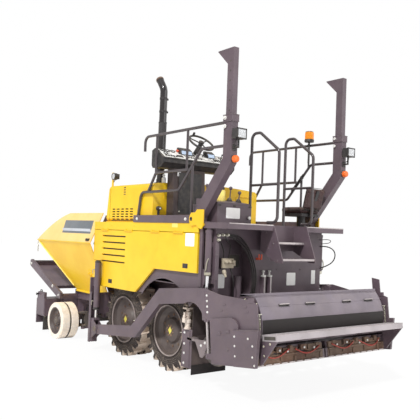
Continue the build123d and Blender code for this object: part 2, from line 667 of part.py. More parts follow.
# ================================================================ platform, stairs and rear body
with BuildPart() as platform:
    block(platform_rear_x, hood_rear_x, -platform_half, platform_half, floor_z - 12, floor_z)
    stair_half = 290
    block(platform_rear_x - 1, platform_rear_x + 230, -stair_half, stair_half, floor_z - 20, floor_z + 1,
          mode=Mode.SUBTRACT)
    # rolled edge round the platform
    for sign in (1, -1):
        block(platform_rear_x, hood_rear_x, sign * (platform_half - 12), sign * platform_half,
            floor_z - 72, floor_z)
        block(platform_rear_x, platform_rear_x + 12, sign * stair_half, sign * platform_half,
            floor_z - 72, floor_z)
        # kick plate beside the hood
        block(-1680, -330, sign * panel_y, sign * (panel_y + 10), floor_z - 12, floor_z + 88)
        block(-1680, -730, sign * (platform_half - 1), sign * (panel_y + 1), floor_z - 12, floor_z)
    # stair: two treads between raked stringers
    for sign in (1, -1):
        slab(side_plane(sign * (stair_half + 6)), 12, [
            (platform_rear_x + 230, floor_z), (platform_rear_x + 230, floor_z - 330),
            (platform_rear_x - 60, floor_z - 470), (platform_rear_x - 170, floor_z - 470),
            (platform_rear_x - 170, floor_z - 430), (platform_rear_x, floor_z),
        ])
    for drop, front, rear in [(214, 210, 30), (419, 60, -160)]:
        block(platform_rear_x + rear, platform_rear_x + front, -stair_half, stair_half, floor_z - drop - 30,
              floor_z - drop)
    block(platform_rear_x + 218, platform_rear_x + 230, -stair_half, stair_half, floor_z - 330, floor_z)
save(platform, "platform")

with BuildPart() as rear_body:
    wall_x = -2110
    wall_half = 956
    bay = (360, 900, 1010, 1800)
    bay_depth = 190
    block(wall_x, wall_x + sheet, -wall_half, wall_half, longeron_top, floor_z - 12)
    with BuildSketch(cross_plane(wall_x)) as bay_opening:
        with BuildLine():
            Polyline((bay[0], bay[3] - 330), (bay[0], bay[2]), (bay[1], bay[2]), (bay[1], bay[3]),
                     (bay[0] + 250, bay[3]))
            RadiusArc((bay[0] + 250, bay[3]), (bay[0], bay[3] - 330), -420)
        make_face()
    extrude(bay_opening.sketch, amount=40, both=True, mode=Mode.SUBTRACT)
    for y in (bay[0] - sheet, bay[1]):
        block(wall_x, wall_x + bay_depth, y, y + sheet, bay[2] - sheet, floor_z - 12)
    block(wall_x + bay_depth, wall_x + bay_depth + sheet, bay[0] - sheet, bay[1] + sheet, bay[2] - sheet,
          floor_z - 12)
    block(wall_x, wall_x + bay_depth, bay[0] - sheet, bay[1] + sheet, bay[2] - sheet, bay[2])
    # side cheeks out to the doors
    for sign in (1, -1):
        block(wall_x, panel_rear_x, sign * (wall_half - sheet), sign * wall_half, 1250, floor_z - 72)
    # valve block and tank in the bay
    block(wall_x + 60, wall_x + bay_depth, 640, 800, 1430, 1560)
    rod((wall_x + 130, 470, bay[2]), (wall_x + 130, 470, 1330), 52)
    # two guide posts behind the conveyor's outlet
    for y in (60, 170):
        block(wall_x - 60, wall_x, y - 16, y + 16, 1000, 1330)
save(rear_body, "rear_body")

# ================================================================ rails, ladder loops and masts
with BuildPart() as guard_rails:
    for sign in (1, -1):
        y = sign * rail_y
        runs = [
            [(-496, y, 3000), (-496, y, rail_top_z), (mast_x + mast_depth / 2 + 8, y, rail_top_z)],
            [(mast_x + mast_depth / 2, y, 2925), (-1826, y, 2925), (-1361, y, 2418),
             (-440, y, 2418), (-375, y, 2050), (-375, y, floor_z - 14)],
            [(-1547, y, rail_low_z), (-800, y, rail_low_z), (-620, y, 2418)],
        ]
        tube_run(runs[0], rail_radius, 90)
        tube_run(runs[1], rail_radius, 90)
        tube_run(runs[2], rail_radius, 60)
        for post_x, low, high in [(-800, rail_low_z, rail_top_z), (-1520, rail_low_z, rail_top_z),
                                  (-1650, floor_z, 2745)]:
            rod((post_x, y, low), (post_x, y, high), rail_radius - 2)
        # hand loops at the stair
        loop_y = sign * (stair_half + 22)
        tube_run([(-1994, loop_y, floor_z), (-1994, loop_y, 3190), (-2150, loop_y, 3190),
                  (-2505, loop_y, 2930), (-2505, loop_y, floor_z + 30), (-2330, loop_y, floor_z + 30)],
                 rail_radius, 80)
        rod((-1994, loop_y, 2511), (-2505, loop_y, 2511), rail_radius - 3)
        rod((platform_rear_x + 40, loop_y, floor_z), (platform_rear_x + 40, loop_y, floor_z + 30),
            rail_radius)
save(guard_rails, "guard_rails")

with BuildPart() as masts_lower:
    for sign in (1, -1):
        front_x = mast_x + mast_depth / 2
        rear_x = mast_x - mast_depth / 2
        slab(side_plane(sign * mast_y), mast_width, [
            (mast_foot_x - 150, floor_z), (mast_foot_x + 60, floor_z), (mast_foot_x, floor_z + 130),
            (front_x, mast_elbow_z + 40), (front_x, mast_collar_z), (rear_x, mast_collar_z),
            (rear_x, mast_elbow_z - 20), (mast_foot_x - 150, floor_z + 60),
        ])
        # foot plate and collar
        block(mast_foot_x - 190, mast_foot_x + 80, sign * (mast_y - 80), sign * (mast_y + 40), floor_z,
              floor_z + 14)
        block(rear_x - 8, front_x + 8, sign * mast_y - mast_width / 2 - 8,
              sign * mast_y + mast_width / 2 + 8,
              mast_collar_z - 90, mast_collar_z)
        # room for the sliding post, tight only at the collar
        block(mast_x - upper_mast_depth / 2 - 6, mast_x + upper_mast_depth / 2 + 6,
              sign * mast_y - upper_mast_width / 2 - 6, sign * mast_y + upper_mast_width / 2 + 6,
              mast_elbow_z + 60, mast_collar_z - 40, mode=Mode.SUBTRACT)
        block(mast_x - upper_mast_depth / 2 - wheel_fit, mast_x + upper_mast_depth / 2 + wheel_fit,
              sign * mast_y - upper_mast_width / 2 - wheel_fit,
              sign * mast_y + upper_mast_width / 2 + wheel_fit,
              mast_collar_z - 41, mast_collar_z + 1, mode=Mode.SUBTRACT)
save(masts_lower, "masts_lower")

for side, sign in sides.items():
    with BuildPart() as mast_upper:
        post_foot_z = mast_elbow_z + 60 + mast_drop + running_gap
        post_front = mast_x + upper_mast_depth / 2
        y0, y1 = sign * mast_y - upper_mast_width / 2, sign * mast_y + upper_mast_width / 2
        block(mast_x - upper_mast_depth / 2, post_front, y0, y1, post_foot_z, mast_top_z)
        block(mast_x - upper_mast_depth / 2 + 6, post_front - 6, y0 + 6, y1 - 6, post_foot_z - 1,
              mast_top_z - 12, mode=Mode.SUBTRACT)
        # canopy seat: top plate over a triangular gusset
        slab(side_plane(sign * mast_y), upper_mast_width, [
            (post_front - 1, mast_top_z - 190), (post_front + 190, mast_top_z - 10),
            (post_front + 190, mast_top_z), (post_front - 1, mast_top_z),
        ])
        block(post_front, post_front + 178, sign * mast_y - upper_mast_width / 2 + 6,
              sign * mast_y + upper_mast_width / 2 - 6, mast_top_z - 200, mast_top_z - 10,
              mode=Mode.SUBTRACT)
        for bolt_x in (post_front + 50, post_front + 150):
            rod((bolt_x, sign * mast_y, mast_top_z - 60), (bolt_x, sign * mast_y, mast_top_z + 1), 7,
                mode=Mode.SUBTRACT)
    save(mast_upper, f"mast_upper_{side}")

# ================================================================ operator's station
console_y = (-300, 980)
wheel_centre = Vector(-815, 250, 3190)
wheel_tilt_deg = 38
column_axis = Vector(-sin(radians(wheel_tilt_deg)), 0, cos(radians(wheel_tilt_deg)))
wheel_plane = Plane(origin=wheel_centre, x_dir=(0, 1, 0), z_dir=column_axis)
with BuildPart() as console:
    middle = (console_y[0] + console_y[1]) / 2
    slab(side_plane(middle), console_y[1] - console_y[0], [
        (-660, 2760), (-630, 2800), (-630, 3010), (-700, 3040), (-940, 2890), (-940, 2830), (-860, 2760),
    ])
    slab(side_plane(480), 560, [
        (-722, floor_z), (-722, 2770), (-860, 2770), (-900, floor_z),
    ])
    with BuildSketch(wheel_plane.offset(-26)) as column:
        Circle(30)
    extrude(column.sketch, amount=-240, taper=-6)
save(console, "console")

with BuildPart() as steering_wheel:
    for spoke_deg in (90, 210, 330):
        out = wheel_plane.x_dir * cos(radians(spoke_deg)) + wheel_plane.y_dir * sin(radians(spoke_deg))
        rod(wheel_centre - column_axis * 10, wheel_centre + out * 186, 9)
    rod(wheel_centre - column_axis * (26 - wheel_fit), wheel_centre + column_axis * 10, 38)
    knob_foot = wheel_centre + wheel_plane.x_dir * 50 - wheel_plane.y_dir * 183 + column_axis * 8
    rod(knob_foot, knob_foot + column_axis * 48, 17)
    across = Plane(origin=wheel_centre, x_dir=wheel_plane.x_dir, z_dir=wheel_plane.y_dir)
    with BuildSketch(across) as rim_section:
        with Locations((190, 0)):
            Rectangle(30, 30)
            fillet(rim_section.vertices(), 14)
    revolve(rim_section.sketch, Axis(wheel_centre, column_axis), 360)
save(steering_wheel, "steering_wheel")

seat_x = -2170
seat_y = -715
with BuildPart() as seat_base:
    rod((seat_x + 230, seat_y, floor_z), (seat_x + 230, seat_y, floor_z + 170), 60)
    block(seat_x + 60, seat_x + 420, seat_y - 170, seat_y + 170, floor_z + 150, floor_z + 190)
save(seat_base, "seat_base")

with BuildPart() as seat_cushions:
    for width, outline in [
        # cushion, then backrest
        (400, [(seat_x + 44, floor_z + 190.3), (seat_x + 470, floor_z + 190.3),
              (seat_x + 470, floor_z + 290), (seat_x + 44, floor_z + 290)]),
        (390, [(seat_x + 20, floor_z + 210), (seat_x - 70, floor_z + 570), (seat_x + 20, floor_z + 570),
              (seat_x + 43.7, floor_z + 300), (seat_x + 43.7, floor_z + 210)]),
    ]:
        with BuildSketch(side_plane(seat_y)) as pad:
            with BuildLine():
                Polyline(*outline, close=True)
            make_face()
            fillet(pad.vertices(), radius=10)
        extrude(pad.sketch, amount=width / 2, both=True)
save(seat_cushions, "seat_cushions")

with BuildPart() as rear_cabinet:
    block(-2060, -1560, 345, 910, floor_z, floor_z + 230)
    slab(side_plane(628), 540, [
        (-2040, floor_z + 230), (-2040, floor_z + 262), (-1700, floor_z + 310), (-1600, floor_z + 310),
        (-1600, floor_z + 230),
    ])
    for lever_x, lever_y, height in [(-1760, 470, 470), (-1860, 400, 410), (-1700, 820, 480)]:
        rod((lever_x, lever_y, floor_z + 250), (lever_x - 20, lever_y, floor_z + height), 8)
        with Locations((lever_x - 20, lever_y, floor_z + height)):
            Sphere(24)
save(rear_cabinet, "rear_cabinet")

with BuildPart() as exhaust:
    with BuildLine(mode=Mode.PRIVATE) as stack_line:
        FilletPolyline((exhaust_x, exhaust_y, exhaust_foot_z + 10), (exhaust_x, exhaust_y, 4020),
                       (exhaust_x + 130, exhaust_y, 4200), radius=160)
    rod((exhaust_x, exhaust_y, exhaust_foot_z), (exhaust_x, exhaust_y, exhaust_foot_z + 16), 92)
    rod((exhaust_x, exhaust_y, exhaust_foot_z + 16), (exhaust_x, exhaust_y, exhaust_foot_z + 70),
        exhaust_radius + 8)
    rod((exhaust_x, exhaust_y, exhaust_foot_z), (exhaust_x, exhaust_y, exhaust_foot_z + 71),
        exhaust_radius - 6,
        mode=Mode.SUBTRACT)
    with BuildSketch(stack_line.line ^ 0) as stack_ring:
        Circle(exhaust_radius)
        Circle(exhaust_radius - 6, mode=Mode.SUBTRACT)
    sweep(stack_ring.sketch, path=stack_line.line)
save(exhaust, "exhaust")

with BuildPart() as lamps:
    # mast lamps on elbow brackets, hood lamp and amber beacon on its pole
    for sign in (1, -1):
        lamp_y = sign * mast_y
        rod((mast_x - mast_depth / 2, lamp_y, 2890), (mast_x - 150, lamp_y, 2890), 12)
        rod((mast_x - 150, lamp_y, 2880), (mast_x - 150, lamp_y, 2990), 12)
        block(mast_x - 200, mast_x - 110, lamp_y - 70, lamp_y + 70, 2985, 3105)
        rod((mast_x - mast_depth / 2, lamp_y, mast_elbow_z + 24),
            (mast_x - 118, lamp_y, mast_elbow_z + 24), 40)
    block(hood_front_x - 120, hood_front_x - 28, hood_half - 90, hood_half - 10, hood_top_z + 110,
        hood_top_z + 190)
    beacon_x, beacon_y = -1810, -rail_y + rail_radius + 14.1
    rod((beacon_x, beacon_y, 2880), (beacon_x, beacon_y, 3255), 14)
    rod((beacon_x, beacon_y, 3255), (beacon_x, beacon_y, 3290), 66)
    rod((beacon_x, beacon_y, 3290), (beacon_x, beacon_y, 3410), 58)
save(lamps, "lamps")

# ================================================================ tow points
guide_x = 560
column_top_z = 1358
barrel_foot_z = 640
tow_rod_radius = 20
cheek_gap = (arm_outer_y - arm_inner_y) / 2 + wheel_fit
slide_half = cheek_gap + 12
with BuildPart() as tow_guides:
    for sign in (1, -1):
        y = sign * (arm_inner_y + arm_outer_y) / 2
        inner_face = sign * (panel_y + 4)
        # back plate and two channel legs that steer the tow block
        block(guide_x + 100, guide_x + 120, inner_face, sign * (arm_outer_y + 24), 130, 1120)
        block(guide_x + 60, guide_x + 101, inner_face, y - sign * (slide_half + 0.5), 130, 1120)
        block(guide_x + 60, guide_x + 101, y + sign * (slide_half + 0.5), sign * (arm_outer_y + 24), 130,
            900)
        block(guide_x + 40, guide_x + 110, sign * (longeron_y + longeron_width / 2), inner_face, 560, 880)
        rod((guide_x, y, barrel_foot_z), (guide_x, y, column_top_z), 46)
        rod((guide_x, y, barrel_foot_z + 50), (guide_x, y, column_top_z - 20), 34, mode=Mode.SUBTRACT)
        rod((guide_x, y, barrel_foot_z - 1), (guide_x, y, barrel_foot_z + 60), tow_rod_radius + wheel_fit,
            mode=Mode.SUBTRACT)
        block(guide_x + 30, guide_x + 101, y - 20, y + 20, 980, 1100)
        rod((guide_x, y, barrel_foot_z + 50), (guide_x, y, column_top_z - 20), 34, mode=Mode.SUBTRACT)
save(tow_guides, "tow_guides")

for side, sign in sides.items():
    with BuildPart() as tow_slide:
        y = sign * (arm_inner_y + arm_outer_y) / 2
        block(tow_pin_x + 84, guide_x + 92, y - slide_half, y + slide_half, 140, 500)
        for cheek in (1, -1):
            slab(side_plane(y + cheek * (cheek_gap + 6)), 12, [
                (tow_pin_x - 60, tow_pin_z - 50), (tow_pin_x - 60, tow_pin_z + 50), (tow_pin_x + 85, 500),
                (tow_pin_x + 85, 200),
            ])
        block(guide_x - 30, guide_x + 40, y - slide_half, y + slide_half, 470, 500)
        rod((guide_x, y, 490), (guide_x, y, 1150), tow_rod_radius)
        rod((tow_pin_x, y - cheek_gap - 20, tow_pin_z), (tow_pin_x, y + cheek_gap + 20, tow_pin_z),
            tow_pin_radius)
    save(tow_slide, f"tow_slide_{side}")

# ================================================================ screed lift rams
lift_eye_z = 1110
with BuildPart() as lift_barrels:
    for sign in (1, -1):
        y = sign * lift_y
        rod((lift_x, y, 1358), (lift_x, y, lift_top_z), lift_barrel_radius)
        rod((lift_x, y, 1400), (lift_x, y, lift_top_z - 20), 32, mode=Mode.SUBTRACT)
        rod((lift_x, y, 1350), (lift_x, y, 1410), lift_rod_radius + wheel_fit, mode=Mode.SUBTRACT)
        block(lift_x - 26, lift_x + 26, y - 13, y + 13, lift_top_z - 1, floor_z - 12)
        block(lift_x - 20, lift_x + 20, sign * wall_half, sign * (lift_y - 36), 1700, 1760)
save(lift_barrels, "lift_barrels")

for side, sign in sides.items():
    with BuildPart() as lift_rod:
        y = sign * lift_y
        rod((lift_x, y, lift_eye_z), (lift_x, y, 1730), lift_rod_radius)
        rod((lift_x, y - 20, lift_eye_z), (lift_x, y + 20, lift_eye_z), 44)
        rod((lift_x, y - 21, lift_eye_z), (lift_x, y + 21, lift_eye_z), 20, mode=Mode.SUBTRACT)
    save(lift_rod, f"lift_rod_{side}")

# ================================================================ tow arms and screed
# Built in the screed's own frame: origin on the tow pins, x forward along the level arms.
raise_rad = radians(screed_raise_deg)
screed_frame = Plane(origin=(tow_pin_x, 0, tow_pin_z), x_dir=(cos(raise_rad), 0, -sin(raise_rad)),
                     z_dir=(sin(raise_rad), 0, cos(raise_rad)))
screed_sole = 4 - tow_pin_z
arm_middle = (arm_inner_y + arm_outer_y) / 2
with BuildPart() as tow_arms:
    for sign in (1, -1):
        with BuildSketch(side_plane(sign * arm_middle, screed_frame)) as arm_side:
            with BuildLine():
                Polyline((0, 60), (-1050, 60), (-1780, 555), (-2700, 530), (-2760, 500), (-2760, 150),
                         (-2690, 150), (-2690, 216))
                RadiusArc((-2690, 216), (-2320, 352), 300)
                Polyline((-2320, 352), (-1770, 352), (-1130, -100), (0, -80))
                ThreePointArc((0, -80), (74, -8), (0, 60))
            make_face()
            Circle(tow_pin_radius + wheel_fit, mode=Mode.SUBTRACT)
        extrude(arm_side.sketch, amount=(arm_outer_y - arm_inner_y) / 2, both=True)
        # lug beside the lift ram's eye
        lug_u = (lift_x - tow_pin_x) * cos(raise_rad) - (lift_eye_z - tow_pin_z) * sin(raise_rad)
        lug_w = (lift_x - tow_pin_x) * sin(raise_rad) + (lift_eye_z - tow_pin_z) * cos(raise_rad)
        slab(side_plane(sign * (arm_inner_y - 16), screed_frame), 32, [
            (lug_u - 70, lug_w - 40), (lug_u + 70, lug_w - 40), (lug_u + 40, lug_w + 50),
            (lug_u - 40, lug_w + 50),
        ])
save(tow_arms, "tow_arms")

main_front_u, main_rear_u = -2890, -3250
cover_half = 1075
tube_table = [("left", -2990, 60), ("right", -3150, 60)]
tube_radius = 46
with BuildPart() as screed_frame_part:
    # sole plate box, upper beam, side plates and tube sleeves
    block(main_rear_u, main_front_u, -screed_half + 8, screed_half - 8, screed_sole, screed_sole + 120,
        screed_frame)
    slab(side_plane(0, screed_frame), 2 * screed_half - 16, [
        (main_front_u, screed_sole + 120), (main_front_u, -60), (main_front_u - 14, -60),
        (main_front_u - 14, screed_sole + 120),
    ])
    block(-3600, -3572, -screed_half + 8, screed_half - 8, -115, 40, screed_frame)
    for sign in (1, -1):
        slab(side_plane(sign * (screed_half - 7), screed_frame), 14, [
            (-2700, 150), (-2700, 525), (-2760, 525), (-3060, 440), (-3557, 372), (-3670, 325),
            (-3670, 0), (-3600, -60), (main_rear_u, -130), (main_rear_u, screed_sole), (-2890, screed_sole),
            (-2890, 150),
        ])
        for _, tube_u, tube_w in tube_table:
            rod((tube_u, sign * (screed_half - 1), tube_w), (tube_u, sign * (screed_half - 260), tube_w),
                tube_radius + 16, screed_frame)
        # rib that closes the end of the cover
        with BuildSketch(side_plane(sign * (cover_half - 9), screed_frame)) as end_rib:
            with BuildLine():
                Polyline((-3616, -10), (-3600, -60), (-3300, -60), (-3300, 430), (-3532, 406))
                ThreePointArc((-3532, 406), (-3630, 170), (-3616, -10))
            make_face()
        extrude(end_rib.sketch, amount=9, both=True)
    for _, tube_u, tube_w in tube_table:
        rod((tube_u, -260, tube_w), (tube_u, 260, tube_w), tube_radius + 16, screed_frame)
        for y in (-220, 220):
            block(tube_u - 40, tube_u + 40, y - 20, y + 20, screed_sole + 119, tube_w, screed_frame)
    for _, tube_u, tube_w in tube_table:
        rod((tube_u, -2000, tube_w), (tube_u, 2000, tube_w), tube_radius + 0.5, screed_frame, Mode.SUBTRACT)
save(screed_frame_part, "screed_frame")

with BuildPart() as screed_cover:
    with BuildSketch(side_plane(0, screed_frame)) as cover_section:
        with BuildLine():
            Line((-3300, 440), (-3540, 415))
            ThreePointArc((-3540, 415), (-3640, 170), (-3626, -10))
            Line((-3626, -10), (-3616, -10))
            ThreePointArc((-3616, -10), (-3630, 170), (-3532, 406))
            Polyline((-3532, 406), (-3300, 430), (-3300, 440))
        make_face()
    extrude(cover_section.sketch, amount=cover_half, both=True)
save(screed_cover, "screed_cover")

with BuildPart() as walkway:
    walkway_half = 1110
    block(-3900, -3665, -walkway_half, walkway_half, -65, 2, screed_frame)
    block(-3895, -3670, -walkway_half + 5, walkway_half - 5, -66, -4, screed_frame, Mode.SUBTRACT)
    for y, foot in ((-1100, -320), (-560, -110), (0, -110), (560, -110), (1100, -320)):
        slab(side_plane(y, screed_frame), 16, [
            (-3896, -3), (-3669, -3), (-3669, -40), (-3600, -40), (-3600, foot), (-3640, foot),
            (-3896, -60),
        ])
save(walkway, "walkway")

for side, sign in sides.items():
    with BuildPart() as extension:
        _, tube_u, tube_w = tube_table[0 if side == "left" else 1]
        gate_y = screed_half + running_gap
        # tamper box that slides out behind the main screed
        block(-3560, main_rear_u - running_gap, sign * 12, sign * gate_y, screed_sole, screed_sole + 110,
            screed_frame)
        block(-3540, main_rear_u - 30, sign * 40, sign * gate_y, screed_sole + 109, -150, screed_frame)
        block(-3530, main_rear_u - 20, sign * 41, sign * (gate_y - 30), screed_sole + 120, -162,
              screed_frame,
              Mode.SUBTRACT)
        # telescopic tube, held by the end gate
        rod((tube_u, sign * -900, tube_w), (tube_u, sign * gate_y, tube_w), tube_radius, screed_frame)
        slab(side_plane(sign * (gate_y + gate_thickness / 2), screed_frame), gate_thickness, [
            (-2880, screed_sole), (-2880, 170), (-3250, 186), (-3330, 160), (-3372, 100), (-3375, 58),
            (-3724, 58), (-3690, -110), (-3640, screed_sole),
        ])
        # second gate plate with its bolted edge
        slab(side_plane(sign * (gate_y + gate_thickness + 8), screed_frame), 16, [
            (-3300, 54), (-3290, screed_sole), (-3636, screed_sole), (-3686, -112), (-3720, 54),
        ])
    save(extension, f"extension_{side}")

# ================================================================ augers
for side, sign in sides.items():
    with BuildPart() as auger:
        inner_y, outer_y = 40, 1050
        rod((auger_x, sign * (60 + wheel_fit), auger_z), (auger_x, sign * outer_y, auger_z),
            auger_shaft_radius)
        flight_radius = (auger_radius + 40) / 2
        flight_line = Helix(auger_pitch, 3 * auger_pitch, flight_radius,
                            center=(auger_x, sign * 90, auger_z),
                            direction=(0, sign, 0), lefthand=sign > 0, mode=Mode.PRIVATE)
        start = flight_line @ 0
        flight_seat = Plane(origin=start, x_dir=start - Vector(auger_x, sign * 90, auger_z),
                            z_dir=flight_line % 0)
        with BuildSketch(flight_seat) as flight:
            Rectangle(auger_radius - 40, 12)
        sweep(flight.sketch, path=flight_line, is_frenet=True)
    save(auger, f"auger_{side}")
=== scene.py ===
import math
import random

import bmesh
import bpy
from mathutils import Matrix, Vector


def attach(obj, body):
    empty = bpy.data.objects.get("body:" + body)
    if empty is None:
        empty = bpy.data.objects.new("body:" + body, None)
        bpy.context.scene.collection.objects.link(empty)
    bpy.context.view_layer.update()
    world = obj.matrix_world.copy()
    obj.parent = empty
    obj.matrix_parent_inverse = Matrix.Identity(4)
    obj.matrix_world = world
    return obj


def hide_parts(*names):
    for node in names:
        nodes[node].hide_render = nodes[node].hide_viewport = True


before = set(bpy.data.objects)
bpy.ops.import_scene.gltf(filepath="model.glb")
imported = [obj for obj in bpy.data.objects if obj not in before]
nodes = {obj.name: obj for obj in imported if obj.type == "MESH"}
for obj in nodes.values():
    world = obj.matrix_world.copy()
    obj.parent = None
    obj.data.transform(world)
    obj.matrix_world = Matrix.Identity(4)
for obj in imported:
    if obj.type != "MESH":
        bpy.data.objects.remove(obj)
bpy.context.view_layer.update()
scene = bpy.context.scene
scene.view_settings.view_transform = "Standard"
print("paver frame loaded:", len(nodes), "solids")

sides = {"left": 1, "right": -1}

# the machine's own measures, in metres, as in its solids
machine = {
    "rearAxle": (-1.110, 0.739, 0.538), "midAxle": (0.055, 0.739, 0.538), "frontAxle": (1.805, 1.060, 0.303),
    "panelY": 1.050, "floorZ": 2.000, "hoodHalf": 0.985, "mastX": -2.366, "mastY": 1.0, "mastRear": -2.441,
    "towPin": (0.500, 0.350), "raise": math.radians(7.0),
}

# ---------- camera, floor and light
cameraSetup = {"place": (-7.953, 5.704, 1.854), "heading": 38.43, "pitch": 2.26, "roll": 2.16, "lens": 52.67}


def placeCamera():
    heading, pitch, roll = (math.radians(cameraSetup[k]) for k in ("heading", "pitch", "roll"))
    ahead = Vector((math.cos(heading) * math.cos(pitch), -math.sin(heading) * math.cos(pitch), math.sin(pitch)))
    right = ahead.cross(Vector((0, 0, 1))).normalized()
    up = right.cross(ahead)
    rolledRight = right * math.cos(roll) + up * math.sin(roll)
    rolledUp = up * math.cos(roll) - right * math.sin(roll)
    data = bpy.data.cameras.new("viewCamera")
    data.lens = cameraSetup["lens"]
    data.sensor_width = 36.0
    data.clip_end = 300
    camera = bpy.data.objects.new("viewCamera", data)
    turn = Matrix((rolledRight, rolledUp, -ahead)).transposed().to_4x4()
    camera.matrix_world = Matrix.Translation(cameraSetup["place"]) @ turn
    scene.collection.objects.link(camera)
    scene.camera = camera


placeCamera()

lighting = {"sky": 0.58, "sun": 2.7, "sunTurn": (43, 0, -150), "sunSize": 6, "fill": 0.45, "floor": 0.93,
            "white": 0.93, "rear": 0.62}


def addNode(tree, kind, values=None):
    node = tree.nodes.new("ShaderNode" + kind)
    for label, value in (values or {}).items():
        node.inputs[label].default_value = value
    return node


def makeWorld():
    world = bpy.data.worlds.new("paleStudio")
    scene.world = world
    world.use_nodes = True
    tree = world.node_tree
    tree.nodes.clear()
    out = addNode(tree, "OutputWorld")
    shown = addNode(tree, "Background", {"Color": (1, 1, 1, 1), "Strength": 1.0})
    lit = addNode(tree, "Background", {"Color": (1.0, 0.975, 0.95, 1), "Strength": lighting["sky"]})
    path = addNode(tree, "LightPath")
    either = addNode(tree, "Math")
    either.operation = "MAXIMUM"
    mix = addNode(tree, "MixShader")
    tree.links.new(path.outputs["Is Camera Ray"], either.inputs[0])
    tree.links.new(path.outputs["Is Transmission Ray"], either.inputs[1])
    tree.links.new(either.outputs[0], mix.inputs["Fac"])
    tree.links.new(lit.outputs[0], mix.inputs[1])
    tree.links.new(shown.outputs[0], mix.inputs[2])
    tree.links.new(mix.outputs[0], out.inputs["Surface"])


def addSun(name, turn, strength, size, color=(1, 1, 1)):
    data = bpy.data.lights.new(name, "SUN")
    data.energy = strength
    data.angle = math.radians(size)
    data.color = color
    lamp = bpy.data.objects.new(name, data)
    lamp.rotation_euler = [math.radians(a) for a in turn]
    scene.collection.objects.link(lamp)


def makeFloor():
    mesh = bpy.data.meshes.new("paleFloor")
    half = 60
    mesh.from_pydata([(-half, -half, 0), (half, -half, 0), (half, half, 0), (-half, half, 0)], [], [(0, 1, 2, 3)])
    floor = bpy.data.objects.new("paleFloor", mesh)
    scene.collection.objects.link(floor)
    material = bpy.data.materials.new("paleFloor")
    material.use_nodes = True
    tree = material.node_tree
    shader = tree.nodes["Principled BSDF"]
    shader.inputs["Base Color"].default_value = (lighting["floor"],) * 3 + (1,)
    shader.inputs["Roughness"].default_value = 0.9
    # to the camera the floor is nearly all plain white, so only a trace of shadow stays on it
    glow = addNode(tree, "Emission")
    path = addNode(tree, "LightPath")
    share = addNode(tree, "Math")
    share.operation = "MULTIPLY"
    share.inputs[1].default_value = lighting["white"]
    mix = addNode(tree, "MixShader")
    tree.links.new(path.outputs["Is Camera Ray"], share.inputs[0])
    tree.links.new(share.outputs[0], mix.inputs["Fac"])
    tree.links.new(shader.outputs[0], mix.inputs[1])
    tree.links.new(glow.outputs[0], mix.inputs[2])
    tree.links.new(mix.outputs[0], tree.nodes["Material Output"].inputs["Surface"])
    mesh.materials.append(material)


makeWorld()
addSun("keyLight", lighting["sunTurn"], lighting["sun"], lighting["sunSize"])
addSun("fillLight", (62, 0, -20), lighting["fill"], 50)
addSun("rearLight", (80, 0, -72), lighting["rear"], 40)
makeFloor()
print("camera, floor and lights placed")

# ---------- shared node groups


def newGroup(name, inputs, outputs):
    group = bpy.data.node_groups.new(name, "ShaderNodeTree")
    for label, kind, value in inputs:
        socket = group.interface.new_socket(label, in_out="INPUT", socket_type=kind)
        socket.default_value = value
    for label, kind in outputs:
        group.interface.new_socket(label, in_out="OUTPUT", socket_type=kind)
    return group, group.nodes.new("NodeGroupInput"), group.nodes.new("NodeGroupOutput")


def mathNode(tree, operation, first, second=None, clamp=False):
    node = addNode(tree, "Math")
    node.operation = operation
    node.use_clamp = clamp
    for index, value in enumerate((first, second)):
        if value is None:
            continue
        if isinstance(value, (int, float)):
            node.inputs[index].default_value = value
        else:
            tree.links.new(value, node.inputs[index])
    return node.outputs[0]


def noiseNode(tree, scale, detail=4, rough=0.55, stretch=None):
    place = addNode(tree, "TexCoord").outputs["Object"]
    if stretch:
        mapping = addNode(tree, "Mapping", {"Scale": stretch})
        tree.links.new(place, mapping.inputs["Vector"])
        place = mapping.outputs["Vector"]
    node = addNode(tree, "TexNoise", {"Detail": detail, "Roughness": rough})
    tree.links.new(place, node.inputs["Vector"])
    if isinstance(scale, (int, float)):
        node.inputs["Scale"].default_value = scale
    else:
        tree.links.new(scale, node.inputs["Scale"])
    return node.outputs["Fac"]


def steepen(tree, value, low, high):
    node = addNode(tree, "MapRange", {"From Min": low, "From Max": high})
    node.interpolation_type = "SMOOTHSTEP"
    tree.links.new(value, node.inputs["Value"])
    return node.outputs["Result"]


def makeEdgeWear():
    group, given, out = newGroup("edgeWear", [("Amount", "NodeSocketFloat", 0.5),
                                              ("Width", "NodeSocketFloat", 0.004)], [("Mask", "NodeSocketFloat")])
    bevel = addNode(group, "Bevel")
    bevel.samples = 4
    group.links.new(given.outputs["Width"], bevel.inputs["Radius"])
    geometry = addNode(group, "NewGeometry")
    dot = addNode(group, "VectorMath")
    dot.operation = "DOT_PRODUCT"
    group.links.new(bevel.outputs["Normal"], dot.inputs[0])
    group.links.new(geometry.outputs["Normal"], dot.inputs[1])
    edge = mathNode(group, "SUBTRACT", 1.0, dot.outputs["Value"])
    edge = steepen(group, edge, 0.01, 0.12)
    chips = steepen(group, noiseNode(group, 38, 6, 0.7), 0.38, 0.60)
    both = mathNode(group, "MULTIPLY", edge, chips)
    group.links.new(mathNode(group, "MULTIPLY", both, given.outputs["Amount"], True), out.inputs["Mask"])
    return group


